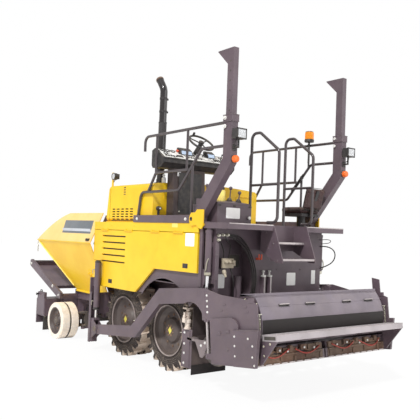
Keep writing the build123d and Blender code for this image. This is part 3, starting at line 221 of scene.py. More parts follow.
def makeDust():
    group, given, out = newGroup("settledDust", [("Amount", "NodeSocketFloat", 0.5),
                                                 ("Scale", "NodeSocketFloat", 5.0)], [("Mask", "NodeSocketFloat")])
    geometry = addNode(group, "NewGeometry")
    parts = addNode(group, "SeparateXYZ")
    group.links.new(geometry.outputs["Normal"], parts.inputs[0])
    upward = steepen(group, parts.outputs["Z"], -0.2, 0.95)
    cloud = steepen(group, noiseNode(group, given.outputs["Scale"], 7, 0.62), 0.35, 0.72)
    film = mathNode(group, "MULTIPLY", mathNode(group, "ADD", upward, 0.35), cloud)
    group.links.new(mathNode(group, "MULTIPLY", film, given.outputs["Amount"], True), out.inputs["Mask"])
    return group


def makeMottle():
    group, given, out = newGroup("mottle", [("Scale", "NodeSocketFloat", 3.0)],
                                 [("Value", "NodeSocketFloat"), ("Grain", "NodeSocketFloat")])
    group.links.new(noiseNode(group, given.outputs["Scale"], 5, 0.6), out.inputs["Value"])
    fine = mathNode(group, "MULTIPLY", given.outputs["Scale"], 60.0)
    group.links.new(noiseNode(group, fine, 3, 0.5), out.inputs["Grain"])
    return group


def makeStreaks():
    group, given, out = newGroup("runStreaks", [("Amount", "NodeSocketFloat", 0.4)], [("Mask", "NodeSocketFloat")])
    runs = steepen(group, noiseNode(group, 9, 5, 0.6, (1.0, 1.0, 0.16)), 0.52, 0.74)
    patch = steepen(group, noiseNode(group, 1.7, 3, 0.5), 0.40, 0.70)
    both = mathNode(group, "MULTIPLY", runs, patch)
    group.links.new(mathNode(group, "MULTIPLY", both, given.outputs["Amount"], True), out.inputs["Mask"])
    return group


groups = {"edge": makeEdgeWear(), "dust": makeDust(), "mottle": makeMottle(), "streaks": makeStreaks()}

# ---------- finishes: one dictionary for each
dustTone = (0.42, 0.35, 0.26)
finishes = {
    "yellowPaint": dict(color=(0.90, 0.585, 0.012), tone=(0.86, 0.52, 0.009), rough=0.42, coat=0.12, wear=0.35,
        bare=(0.25, 0.21, 0.17), dust=0.035, streaks=0.10, bump=0.02),
    "darkPaint": dict(color=(0.118, 0.084, 0.105), tone=(0.094, 0.067, 0.083), rough=0.42, coat=0.15, wear=0.55,
        bare=(0.30, 0.27, 0.26), dust=0.10, streaks=0.18, bump=0.03),
    "coverPaint": dict(color=(0.185, 0.155, 0.190), tone=(0.150, 0.125, 0.150), rough=0.40, coat=0.2, wear=0.5,
        bare=(0.34, 0.30, 0.30), dust=0.10, streaks=0.15, bump=0.02),
    "chamberPaint": dict(color=(0.052, 0.038, 0.040), tone=(0.075, 0.052, 0.050), rough=0.60, wear=0.4,
        bare=(0.26, 0.22, 0.20), dust=0.20, streaks=0.3, bump=0.05),
    "blackPaint": dict(color=(0.018, 0.016, 0.018), tone=(0.026, 0.022, 0.024), rough=0.45, coat=0.1, wear=0.4,
        bare=(0.22, 0.20, 0.19), dust=0.06, streaks=0.15, bump=0.03),
    "railPaint": dict(color=(0.060, 0.048, 0.054), tone=(0.048, 0.038, 0.042), rough=0.32, coat=0.4, wear=0.3,
        bare=(0.26, 0.23, 0.22), dust=0.05, streaks=0.06, bump=0.01),
    "treadDust": dict(color=(0.74, 0.62, 0.52), tone=(0.52, 0.42, 0.35), rough=0.92, wear=0.5,
        bare=(0.86, 0.76, 0.66), dust=0.25, streaks=0.2, bump=0.15, scale=6.0, wearWidth=0.012),
    # paler, whiter yellow for the wings' upper facets: painted glare of the sun on faces tilted up to it, with a
    # stronger coat
    "wingGlarePaint": dict(color=(0.95, 0.67, 0.24), tone=(0.93, 0.62, 0.20), rough=0.30, coat=0.5, wear=0.35,
        bare=(0.40, 0.33, 0.25), dust=0.08, streaks=0.15, bump=0.02),
    "rimPaint": dict(color=(0.070, 0.052, 0.050), tone=(0.105, 0.082, 0.078), rough=0.45, coat=0.1, wear=0.6,
        bare=(0.34, 0.28, 0.26), dust=0.12, streaks=0.2, bump=0.03),
    "hubYellow": dict(color=(0.80, 0.72, 0.10), tone=(0.55, 0.45, 0.08), rough=0.6, wear=0.0, dust=0.3, streaks=0.1,
        bump=0.02),
    "bandBlack": dict(color=(0.007, 0.004, 0.004), tone=(0.012, 0.008, 0.008), rough=0.55, wear=0.0, dust=0.015,
        streaks=0.02, bump=0.01),
    "glossBlack": dict(color=(0.014, 0.012, 0.014), tone=(0.020, 0.017, 0.019), rough=0.16, coat=0.6, wear=0.2,
        bare=(0.20, 0.18, 0.17), dust=0.03, streaks=0.05, bump=0.01),
    "brightSteel": dict(color=(0.55, 0.53, 0.51), tone=(0.42, 0.38, 0.34), rough=0.34, metal=1.0, wear=0.0,
        dust=0.18, streaks=0.25, bump=0.05),
    "chromeRod": dict(color=(0.80, 0.80, 0.81), tone=(0.74, 0.74, 0.76), rough=0.10, metal=1.0, wear=0.0, dust=0.05,
        streaks=0.04, bump=0.0),
    "castIron": dict(color=(0.085, 0.075, 0.075), tone=(0.13, 0.10, 0.085), rough=0.68, wear=0.5,
        bare=(0.26, 0.23, 0.21), dust=0.45, streaks=0.3, bump=0.14),
    "tyreRubber": dict(color=(0.030, 0.022, 0.022), tone=(0.055, 0.042, 0.038), rough=0.80, wear=0.5,
        bare=(0.50, 0.42, 0.35), dust=0.10, streaks=0.1, bump=0.10, scale=7.0, wearWidth=0.012),
    "solidTyre": dict(color=(0.93, 0.86, 0.77), tone=(0.84, 0.75, 0.65), rough=0.85, wear=0.6,
        bare=(0.80, 0.74, 0.64), dust=0.25, streaks=0.2, bump=0.08, scale=8.0, wearWidth=0.01),
    "flapRubber": dict(color=(0.032, 0.030, 0.031), tone=(0.06, 0.055, 0.05), rough=0.75, wear=0.2,
        bare=(0.12, 0.11, 0.10), dust=0.4, streaks=0.2, bump=0.08),
    "blackPlastic": dict(color=(0.022, 0.021, 0.023), tone=(0.035, 0.033, 0.034), rough=0.46, wear=0.15,
        bare=(0.10, 0.10, 0.10), dust=0.2, streaks=0.05, bump=0.10, scale=9.0),
    "greyPlate": dict(color=(0.42, 0.38, 0.40), tone=(0.34, 0.31, 0.32), rough=0.55, wear=0.6,
        bare=(0.55, 0.53, 0.51), dust=0.15, streaks=0.2, bump=0.06),
    "rustySteel": dict(color=(0.16, 0.085, 0.055), tone=(0.09, 0.055, 0.042), rough=0.85, wear=0.4,
        bare=(0.30, 0.22, 0.17), dust=0.45, streaks=0.4, bump=0.20),
    "whitePaint": dict(color=(0.82, 0.82, 0.80), tone=(0.72, 0.71, 0.68), rough=0.45, wear=0.2,
        bare=(0.35, 0.33, 0.30), dust=0.2, streaks=0.12, bump=0.01),
    "plainLabel": dict(color=(0.98, 0.98, 0.97), tone=(0.95, 0.95, 0.94), rough=0.5, wear=0.0, dust=0.0,
        streaks=0.0, bump=0.0),
    "plainBand": dict(color=(0.13, 0.15, 0.17), tone=(0.18, 0.20, 0.22), rough=0.5, wear=0.0, dust=0.15,
        streaks=0.1, bump=0.0),
    "redHose": dict(color=(0.42, 0.035, 0.025), tone=(0.30, 0.03, 0.02), rough=0.55, wear=0.0, dust=0.3,
        streaks=0.1, bump=0.04),
    "blackHose": dict(color=(0.018, 0.016, 0.018), tone=(0.028, 0.024, 0.024), rough=0.28, wear=0.0, dust=0.06,
        streaks=0.1, bump=0.05),
    "zincFitting": dict(color=(0.62, 0.60, 0.52), tone=(0.50, 0.47, 0.38), rough=0.35, metal=1.0, wear=0.0,
        dust=0.15, streaks=0.1, bump=0.02),
    "seatVinyl": dict(color=(0.038, 0.013, 0.015), tone=(0.055, 0.020, 0.021), rough=0.52, wear=0.25,
        bare=(0.16, 0.08, 0.07), dust=0.2, streaks=0.0, bump=0.25, scale=14.0),
    "wornRim": dict(color=(0.34, 0.28, 0.27), tone=(0.24, 0.20, 0.19), rough=0.45, wear=0.6,
        bare=(0.42, 0.38, 0.34), dust=0.25, streaks=0.2, bump=0.08),
    "wornSteel": dict(color=(0.60, 0.55, 0.55), tone=(0.42, 0.38, 0.38), rough=0.42, metal=0.6, wear=0.0, dust=0.15,
        streaks=0.15, bump=0.05),
    "paleYellow": dict(color=(0.98, 0.80, 0.22), tone=(0.95, 0.74, 0.18), rough=0.4, wear=0.2,
        bare=(0.45, 0.38, 0.25), dust=0.1, streaks=0.1, bump=0.01),
    "paleBand": dict(color=(0.55, 0.58, 0.62), tone=(0.48, 0.50, 0.54), rough=0.5, wear=0.0, dust=0.1, streaks=0.05,
        bump=0.0),
    "seamShadow": dict(color=(0.22, 0.13, 0.02), tone=(0.16, 0.10, 0.02), rough=0.8, wear=0.0, dust=0.1,
        streaks=0.1, bump=0.0),
    "paleScreen": dict(color=(0.48, 0.60, 0.78), tone=(0.42, 0.55, 0.74), rough=0.25, wear=0.0, dust=0.08,
        streaks=0.0, bump=0.0),
    "brownPipe": dict(color=(0.20, 0.10, 0.06), tone=(0.13, 0.07, 0.045), rough=0.7, wear=0.0, dust=0.3,
        streaks=0.2, bump=0.05),
    "creamFitting": dict(color=(0.80, 0.70, 0.62), tone=(0.55, 0.44, 0.38), rough=0.45, wear=0.5,
        bare=(0.22, 0.16, 0.14), dust=0.2, streaks=0.4, bump=0.05, scale=9.0),
    "wornGrey": dict(color=(0.20, 0.165, 0.175), tone=(0.15, 0.12, 0.125), rough=0.5, wear=0.6,
        bare=(0.45, 0.40, 0.38), dust=0.2, streaks=0.3, bump=0.05),
    "redFitting": dict(color=(0.70, 0.09, 0.03), tone=(0.60, 0.07, 0.03), rough=0.4, wear=0.0, dust=0.1,
        streaks=0.1, bump=0.0),
    "beigeCasting": dict(color=(0.52, 0.46, 0.36), tone=(0.42, 0.36, 0.27), rough=0.5, wear=0.3,
        bare=(0.35, 0.30, 0.25), dust=0.3, streaks=0.2, bump=0.05),
}


finishDefaults = {"scale": 2.4, "wearWidth": 0.005, "metal": 0.0, "coat": 0.0}
# dust lies in finer patches than the paint's own mottle, and is duller
dustLook = {"finer": 1.7, "rough": 0.92}


def makeFinish(name, given):
    look = {**finishDefaults, **given}
    material = bpy.data.materials.new(name)
    material.use_nodes = True
    tree = material.node_tree
    shader = tree.nodes["Principled BSDF"]

    def place(key, **values):
        node = addNode(tree, "Group")
        node.node_tree = groups[key]
        for label, value in values.items():
            node.inputs[label].default_value = value
        return node

    def blend(mask, first, second):
        node = addNode(tree, "Mix")
        node.data_type = "RGBA"
        tree.links.new(mask, node.inputs["Factor"])
        for socket, value in ((node.inputs["A"], first), (node.inputs["B"], second)):
            if isinstance(value, tuple):
                socket.default_value = value + (1,)
            else:
                tree.links.new(value, socket)
        return node.outputs["Result"]

    mottle = place("mottle", Scale=look["scale"])
    color = blend(steepen(tree, mottle.outputs["Value"], 0.35, 0.68), look["color"], look["tone"])
    streaks = place("streaks", Amount=look["streaks"])
    grime = tuple(0.55 * c + 0.05 for c in look["color"])
    color = blend(streaks.outputs["Mask"], color, grime)
    if look["wear"] > 0:
        edge = place("edge", Amount=look["wear"], Width=look["wearWidth"])
        color = blend(edge.outputs["Mask"], color, look["bare"])
    dust = place("dust", Amount=look["dust"], Scale=look["scale"] * dustLook["finer"])
    color = blend(dust.outputs["Mask"], color, dustTone)
    tree.links.new(color, shader.inputs["Base Color"])
    spread = addNode(tree, "MapRange", {"To Min": max(0.04, look["rough"] - 0.07),
                                        "To Max": min(1.0, look["rough"] + 0.14)})
    tree.links.new(mottle.outputs["Value"], spread.inputs["Value"])
    dusty = addNode(tree, "Mix")
    tree.links.new(dust.outputs["Mask"], dusty.inputs["Factor"])
    tree.links.new(spread.outputs["Result"], dusty.inputs["A"])
    dusty.inputs["B"].default_value = dustLook["rough"]
    tree.links.new(dusty.outputs["Result"], shader.inputs["Roughness"])
    shader.inputs["Metallic"].default_value = look["metal"]
    shader.inputs["Coat Weight"].default_value = look["coat"]
    shader.inputs["Coat Roughness"].default_value = 0.12
    if look["bump"]:
        bump = addNode(tree, "Bump", {"Strength": min(1.0, look["bump"] * 4), "Distance": 0.004})
        tree.links.new(mottle.outputs["Grain"], bump.inputs["Height"])
        tree.links.new(bump.outputs["Normal"], shader.inputs["Normal"])
    return material


paints = {name: makeFinish(name, look) for name, look in finishes.items()}


def makeGlass(name, color, rough, transmission, glow=0.0):
    material = bpy.data.materials.new(name)
    material.use_nodes = True
    tree = material.node_tree
    shader = tree.nodes["Principled BSDF"]
    for label, value in (("Roughness", rough), ("Transmission Weight", transmission), ("IOR", 1.45),
                         ("Emission Strength", glow), ("Emission Color", color + (1,))):
        shader.inputs[label].default_value = value
    ribs = addNode(tree, "TexWave", {"Scale": 40})
    coords = addNode(tree, "TexCoord")
    tree.links.new(coords.outputs["Object"], ribs.inputs["Vector"])
    bump = addNode(tree, "Bump", {"Strength": 0.25, "Distance": 0.002})
    tree.links.new(ribs.outputs["Fac"], bump.inputs["Height"])
    tree.links.new(bump.outputs["Normal"], shader.inputs["Normal"])
    mix = addNode(tree, "Mix")
    mix.data_type = "RGBA"
    tree.links.new(ribs.outputs["Fac"], mix.inputs["Factor"])
    mix.inputs["A"].default_value = color + (1,)
    mix.inputs["B"].default_value = tuple(0.85 * c for c in color) + (1,)
    tree.links.new(mix.outputs["Result"], shader.inputs["Base Color"])
    return material


paints["lampGlass"] = makeGlass("lampGlass", (0.86, 0.88, 0.90), 0.12, 0.35)
paints["amberGlass"] = makeGlass("amberGlass", (0.95, 0.33, 0.02), 0.18, 0.35, 0.25)
paints["orangeMarker"] = makeGlass("orangeMarker", (0.86, 0.15, 0.02), 0.3, 0.0, 0.15)

# the solids by finish, where a star stands for left and right
nodePaints = {
    "darkPaint": "main_frame cross_members front_crossbeam hopper_floor fenders platform rear_body masts_lower "
                 "rear_cabinet tow_guides lift_barrels tie_rod hopper_apron tow_arms screed_frame mast_upper* "
                 "tow_slide* extension*",
    "flapRubber": "front_flaps",
    "castIron": "front_axle drive_axles engine_block knuckle* auger*",
    "brightSteel": "conveyor push_rollers",
    "yellowPaint": "engine_hood side_panels hopper_wing* side_door*",
    "railPaint": "guard_rails",
    "blackPlastic": "console lamps steering_wheel",
    "blackPaint": "seat_base",
    "seatVinyl": "seat_cushions",
    "glossBlack": "exhaust",
    "coverPaint": "screed_cover",
    "greyPlate": "walkway",
    "solidTyre": "front_tyres*",
    "rimPaint": "front_rim* drive_rim_rear* drive_rim_mid*",
    "chromeRod": "lift_rod*",
    "tyreRubber": "drive_tyre_rear* drive_tyre_mid*",
}
for paintName, nodeNames in nodePaints.items():
    for label in nodeNames.split():
        for nodeName in [label.replace("*", f"_{side}") for side in sides] if "*" in label else [label]:
            data = nodes[nodeName].data
            data.materials.clear()
            data.materials.append(paints[paintName])
print("finishes made:", len(paints))

# ---------- makers of small pieces


def facing(origin, outward, up=(0, 0, 1)):
    out = Vector(outward).normalized()
    right = Vector(up).cross(out)
    if right.length < 1e-4:
        right = Vector((1, 0, 0))
    right.normalize()
    return Matrix.Translation(origin) @ Matrix((right, out.cross(right), out)).transposed().to_4x4()


def addBlock(bm, place, low, high):
    size = [high[k] - low[k] for k in range(3)]
    middle = [(high[k] + low[k]) / 2 for k in range(3)]
    bmesh.ops.create_cube(bm, size=1, matrix=place @ Matrix.Translation(middle) @ Matrix.Diagonal(size + [1]))


def addPrism(bm, place, outline, depth):
    lower = [bm.verts.new(place @ Vector((x, y, 0))) for x, y in outline]
    upper = [bm.verts.new(place @ Vector((x, y, depth))) for x, y in outline]
    bm.faces.new(lower)
    bm.faces.new(upper[::-1])
    for k in range(len(outline)):
        after = (k + 1) % len(outline)
        bm.faces.new((lower[k], lower[after], upper[after], upper[k]))


def addLathe(bm, place, profile, segments=20):
    rings = []
    for radius, height in profile:
        if radius == 0:
            rings.append([bm.verts.new(place @ Vector((0, 0, height)))])
            continue
        turns = [2 * math.pi * k / segments for k in range(segments)]
        rings.append([bm.verts.new(place @ Vector((radius * math.cos(t), radius * math.sin(t), height)))
                      for t in turns])
    for first, second in zip(rings, rings[1:]):
        for k in range(segments):
            corners = [first[k % len(first)], first[(k + 1) % len(first)],
                       second[(k + 1) % len(second)], second[k % len(second)]]
            corners = list(dict.fromkeys(corners))
            if len(corners) > 2:
                bm.faces.new(corners)


def curved(points, steps=8):
    points = [Vector(p) for p in points]
    ends = [2 * points[0] - points[1]] + points + [2 * points[-1] - points[-2]]
    line = []
    for a, b, c, d in zip(ends, ends[1:], ends[2:], ends[3:]):
        for k in range(steps):
            t = k / steps
            line.append(0.5 * (2 * b + (c - a) * t + (2 * a - 5 * b + 4 * c - d) * t * t
                               + (3 * b - a - 3 * c + d) * t * t * t))
    return line + [points[-1]]


def addTube(bm, points, radius, segments=10):
    points = [Vector(p) for p in points]
    along = (points[1] - points[0]).normalized()
    side = along.orthogonal().normalized()
    rings = []
    for k, point in enumerate(points):
        ahead = (points[min(k + 1, len(points) - 1)] - points[max(k - 1, 0)]).normalized()
        side = (side - ahead * side.dot(ahead)).normalized()
        other = ahead.cross(side)
        turns = [2 * math.pi * s / segments for s in range(segments)]
        rings.append([bm.verts.new(point + (side * math.cos(t) + other * math.sin(t)) * radius) for t in turns])
    for first, second in zip(rings, rings[1:]):
        for s in range(segments):
            after = (s + 1) % segments
            bm.faces.new((first[s], first[after], second[after], second[s]))
    bm.faces.new(rings[0][::-1])
    bm.faces.new(rings[-1])


edgeRounding = {"segments": 2, "over": math.radians(40)}


def makePiece(name, bm, paint, body, bevel=0.0, smooth=35):
    bmesh.ops.recalc_face_normals(bm, faces=bm.faces)
    mesh = bpy.data.meshes.new(name)
    bm.to_mesh(mesh)
    bm.free()
    mesh.shade_smooth()
    mesh.set_sharp_from_angle(angle=math.radians(smooth))
    mesh.materials.append(paints[paint])
    piece = bpy.data.objects.new(name, mesh)
    scene.collection.objects.link(piece)
    if bevel:
        rounding = piece.modifiers.new("roundedEdges", "BEVEL")
        rounding.width = bevel
        rounding.segments = edgeRounding["segments"]
        rounding.limit_method = "ANGLE"
        rounding.angle_limit = edgeRounding["over"]
    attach(piece, body)
    return piece


def makeSingle(name, paint, body, add, *shape, bevel=0.0):
    # a piece of one form: what add makes from the shape
    bm = bmesh.new()
    add(bm, *shape)
    return makePiece(name, bm, paint, body, bevel)


def addBolt(bm, place, size=0.012):
    # a washer under a chamfered six-sided head
    addLathe(bm, place, [(0, 0), (size * 1.45, 0), (size * 1.45, size * 0.22), (0, size * 0.22)], 16)
    addLathe(bm, place, [(size * 1.05, size * 0.2), (size * 1.05, size * 0.75), (size * 0.88, size * 0.9),
                         (0, size * 0.9)], 6)


def addLink(bm, middle, number, halfWidth, halfHeight, radius):
    # one oval link of a chain, a quarter turn on from the link before
    turn = Matrix.Rotation(math.radians(90 * (number % 2)), 4, "Z")
    addTube(bm, [middle + turn @ Vector((halfWidth * math.cos(t), 0, halfHeight * math.sin(t)))
                 for t in (2 * math.pi * k / 12 for k in range(13))], radius, 6)


def addStud(bm, place, number, halfLength, halfWidth, height):
    # one raised stud of a tread plate, odd and even ones turned against each other
    turned = place @ Matrix.Rotation(math.radians(45 if number % 2 else -45), 4, "Z")
    addBlock(bm, turned, (-halfLength, -halfWidth, 0), (halfLength, halfWidth, height))


def addSided(bm, place, low, high, sign):
    # a block given for the left side, put on the side of the sign
    near, far = sorted((sign * low[1], sign * high[1]))
    addBlock(bm, place, (low[0], near, low[2]), (high[0], far, high[2]))


def carried(place, points):
    return [place @ Vector(point) for point in points]


def makeBolts(name, places, size, paint, body):
    bm = bmesh.new()
    for place in places:
        addBolt(bm, place, size)
    return makePiece(name, bm, paint, body, smooth=25)


labelThickness = 0.0015


def makeLabel(name, place, width, height, paint, body):
    # a blank sticker with rounded corners, its middle at the place
    corner = min(width, height) * 0.08
    outline = []
    for cx, cy, start in ((1, 1, 0), (-1, 1, 90), (-1, -1, 180), (1, -1, 270)):
        for k in range(4):
            turn = math.radians(start + 30 * k)
            outline.append((cx * (width / 2 - corner) + corner * math.cos(turn),
                            cy * (height / 2 - corner) + corner * math.sin(turn)))
    bm = bmesh.new()
    addPrism(bm, place, outline, labelThickness)
    return makePiece(name, bm, paint, body)


def makeHose(name, points, diameter, paint, body):
    data = bpy.data.curves.new(name, "CURVE")
    data.dimensions = "3D"
    data.bevel_depth = diameter / 2
    data.bevel_resolution = 3
    data.resolution_u = 10
    data.use_fill_caps = True
    spline = data.splines.new("NURBS")
    spline.points.add(len(points) - 1)
    for point, where in zip(spline.points, points):
        point.co = (*where, 1)
    spline.order_u = 3
    spline.use_endpoint_u = True
    data.materials.append(paints[paint])
    hose = bpy.data.objects.new(name, data)
    scene.collection.objects.link(hose)
    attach(hose, body)
    # a bare copy of the curve's line is turned into a mesh, which is cleared again
    line = data.copy()
    line.bevel_depth = 0
    probe = bpy.data.objects.new(name + "Probe", line)
    scene.collection.objects.link(probe)
    bpy.context.view_layer.update()
    mesh = probe.to_mesh()
    probe.to_mesh_clear()
    bpy.data.objects.remove(probe)
    return hose


def sideFace(x, y, z, sign):
    return facing((x, sign * y, z), (0, sign, 0))


def topFace(x, y, z):
    return facing((x, y, z), (0, 0, 1), (1, 0, 0))


def rearFace(x, y, z):
    return facing((x, y, z), (-1, 0, 0))


screedTurn = Matrix.Rotation(machine["raise"], 4, "Y")
screedPlace = Matrix.Translation((machine["towPin"][0], 0, machine["towPin"][1])) @ screedTurn


# ---------- wheels
driveWheel = {"nutRadius": 0.212, "nuts": 10, "nutFace": 0.0885, "hubFace": 0.146,
              "hubBolts": 8, "hubBoltRadius": 0.066}
for axle, axleX in (("rear", machine["rearAxle"][0]), ("mid", machine["midAxle"][0])):
    for side, sign in sides.items():
        body = f"drive_wheel_{axle}_{side}"
        centre = Vector((axleX, sign * machine["rearAxle"][1], machine["rearAxle"][2]))
        hub = facing(centre, (0, sign, 0))
        nuts = []
        for count, radius, height in ((driveWheel["nuts"], driveWheel["nutRadius"], driveWheel["nutFace"]),
                                      (driveWheel["hubBolts"], driveWheel["hubBoltRadius"], driveWheel["hubFace"])):
            for k in range(count):
                turn = 2 * math.pi * (k + 0.5) / count
                at = Vector((radius * math.cos(turn), radius * math.sin(turn), height))
                nuts.append(hub @ Matrix.Translation(at))
        makeBolts(f"wheelNuts_{axle}_{side}", nuts, 0.013, "rustySteel", body)
        makeSingle(f"lockRing_{axle}_{side}", "wornRim", body, addLathe, hub,
                   [(0.325, 0.172), (0.337, 0.172), (0.342, 0.180), (0.340, 0.187), (0.330, 0.187), (0.325, 0.180),
                    (0.325, 0.172)], 56)
        bm = bmesh.new()
        for radius in (0.385, 0.408, 0.431):
            bead = [(radius - 0.006, 0.182), (radius - 0.004, 0.1895), (radius + 0.004, 0.1895),
                    (radius + 0.006, 0.182)]
            for wall in (hub, hub @ Matrix.Diagonal((1, 1, -1, 1))):
                addLathe(bm, wall, bead, 56)
        makePiece(f"wallRings_{axle}_{side}", bm, "tyreRubber", body)
        makeSingle(f"valveStem_{axle}_{side}", "zincFitting", body, addTube,
                   curved(carried(hub, ((0.30, 0.02, 0.140), (0.305, 0.02, 0.165), (0.285, 0.02, 0.185))), 4),
                   0.006, 8)

frontWheel = {"boltRadius": 0.125, "bolts": 8, "face": 0.092}


def frontHub(sign):
    return sideFace(*machine["frontAxle"], sign)


for side, sign in sides.items():
    body = f"front_wheel_{side}"
    hub = frontHub(sign)
    nuts = []
    for k in range(frontWheel["bolts"]):
        turn = 2 * math.pi * k / frontWheel["bolts"]
        nuts.append(hub @ Matrix.Translation((frontWheel["boltRadius"] * math.cos(turn),
                                              frontWheel["boltRadius"] * math.sin(turn), frontWheel["face"])))
    makeBolts(f"frontNuts_{side}", nuts, 0.012, "rustySteel", body)
    makeSingle(f"frontCap_{side}", "castIron", body, addLathe, hub,
               [(0.058, 0.118), (0.058, 0.134), (0.050, 0.142), (0.020, 0.144), (0.018, 0.150), (0, 0.150)], 28,
               bevel=0.001)
print("wheel details placed")

# ---------- hopper: plain bands, front edges, latches, rams' feet
bandThickness, bandLean = 0.0016, 0.075
wingTurn = {"lower": ((0.720, 0.780), (1.100, 1.640)), "upper": ((1.100, 1.640), (0.880, 2.135))}


def wingFace(facet, x, along, sign):
    # a place on the wing's outer face: x in metres, along from 0 at the facet's foot to 1 at its top
    (y0, z0), (y1, z1) = wingTurn[facet]
    out = Vector((0, sign * (z1 - z0), -(y1 - y0)))
    return facing((x, sign * (y0 + (y1 - y0) * along), z0 + (z1 - z0) * along), out)


for side, sign in sides.items():
    body = f"hopper_wing_{side}"
    # blank parallelogram band on the upper facet, dark with a lighter stripe
    bands = (("bandField", "plainBand", 0.30, 0.74, 0.0), ("bandStripe", "paleBand", 0.37, 0.46, bandThickness))
    for name, paint, low, high, lift in bands if side == "left" else ():
        place = wingFace("upper", 0, 0, sign)
        reach = math.dist(*wingTurn["upper"])
        rear, front = 1.02, 2.06
        outline = [(-sign * x, v * reach) for x, v in
                   ((rear, low), (front, low), (front + bandLean, high), (rear + bandLean, high))]
        makeSingle(f"{name}_{side}", paint, body, addPrism, place @ Matrix.Translation((0, 0, lift)), outline,
                   bandThickness)
    # stiffening flange along the raked front edge of the lower facet
    bm = bmesh.new()
    edge = []
    for z in (0.86, 1.60):
        x = 2.028 + (2.940 - 2.028) * (z - 0.815) / (1.64 - 0.815)
        y = 0.720 + 0.380 * (z - 0.780) / 0.860
        edge.append(Vector((x - 0.012, sign * (y + 0.004), z)))
    addTube(bm, edge, 0.011, 8)
    makePiece(f"frontFlange_{side}", bm, "paleYellow", body)
    # rub bar along the knee
    makeSingle(f"kneeBead_{side}", "yellowPaint", body, addTube,
               [(0.905, sign * 1.106, 1.640), (2.935, sign * 1.106, 1.640)], 0.009, 10)
    # black hook latch at the rear of the upper facet
    bm = bmesh.new()
    place = wingFace("upper", 1.010, 0.10, sign)
    addBlock(bm, place, (-0.055, -0.022, 0), (0.055, 0.022, 0.012))
    addTube(bm, carried(place, ((-0.05, 0, 0.012), (-0.02, 0.004, 0.03), (0.03, 0, 0.03), (0.05, -0.004, 0.012))),
            0.008, 8)
    makePiece(f"wingLatch_{side}", bm, "blackPaint", body, bevel=0.002)
    # pad and pin of the ram under the rib
    bm = bmesh.new()
    place = wingFace("lower", 1.240, 0.30, sign)
    addBlock(bm, place, (-0.07, -0.10, 0), (0.07, 0.16, 0.010))
    for x in (0.045, -0.045):
        addLathe(bm, place @ Matrix.Translation((x, 0.10, 0.01)), [(0.020, 0), (0.020, 0.02), (0, 0.02)], 6)
    makePiece(f"ramPad_{side}", bm, "yellowPaint", body, bevel=0.002)
    # short safety chain hanging from the rim of the wing's front corner
    if side == "left":
        bm = bmesh.new()
        start = Vector((2.905, sign * 1.098, 1.615))
        for link in range(7):
            middle = start + Vector((0, sign * 0.004, -0.018 - 0.026 * link))
            addLink(bm, middle, link, 0.010, 0.018, 0.0035)
        makePiece(f"hangingChain_{side}", bm, "zincFitting", body)
print("hopper details placed")

# ---------- apron and push beam
apronTurn = math.radians(21)
apronPlace = Matrix.Translation((2.060, 0, 0.700)) @ Matrix.Rotation(-apronTurn, 4, "Y")
for side, sign in sides.items():
    bolts = [apronPlace @ sideFace(0.0, 1.043, 0.0, sign), apronPlace @ sideFace(1.34, 1.043, 0.0, sign),
             apronPlace @ sideFace(0.30, 1.043, 0.03, sign)]
    makeBolts(f"apronBolts_{side}", bolts, 0.018, "whitePaint", "hopper_apron")
    makeSingle(f"apronTip_{side}", "flapRubber", "hopper_apron", addBlock, apronPlace,
               (1.385, sign * 1.02 - 0.026, -0.050), (1.398, sign * 1.02 + 0.026, 0.020), bevel=0.003)
makeSingle("apronLip", "flapRubber", "hopper_apron", addBlock, apronPlace, (1.350, -0.99, -0.062),
           (1.358, 0.99, 0.052), bevel=0.002)

for side, sign in sides.items():
    makeSingle(f"beamCap_{side}", "darkPaint", "chassis", addBlock, Matrix(), (2.520, sign * 1.100 - 0.006, 0.300),
               (2.815, sign * 1.100 + 0.006, 0.690), bevel=0.003)
    bm = bmesh.new()
    addLathe(bm, facing((2.77, sign * 1.106, 0.655), (0, sign, 0)), [(0.016, 0), (0.016, 0.03), (0.022, 0.032),
                                                                     (0.022, 0.042), (0, 0.042)], 16)
    addTube(bm, curved([(2.69, sign * 1.075, 0.70), (2.69, sign * 1.075, 0.728), (2.75, sign * 1.075, 0.728),
                        (2.75, sign * 1.075, 0.70)], 6), 0.008, 8)
    makePiece(f"beamPeg_{side}", bm, "blackPaint", "chassis")
    makeBolts(f"flapBolts_{side}", [facing((2.553, sign * y, 0.265), (-1, 0, 0)) for y in (0.78, 0.88, 0.98, 1.06)],
              0.010, "zincFitting", "chassis")
    makeBolts(f"beamBolts_{side}", [facing((2.858, sign * y, z), (1, 0, 0)) for y in (0.80, 0.98)
                                    for z in (0.22, 0.52)], 0.015, "zincFitting", "chassis")
    makeSingle(f"rollerCap_{side}", "castIron", "chassis", addLathe,
               facing((2.971, sign * 0.690, 0.430), (0, sign, 0)),
               [(0.036, 0), (0.036, 0.012), (0.028, 0.018), (0, 0.018)], 24, bevel=0.001)
print("apron and push beam details placed")

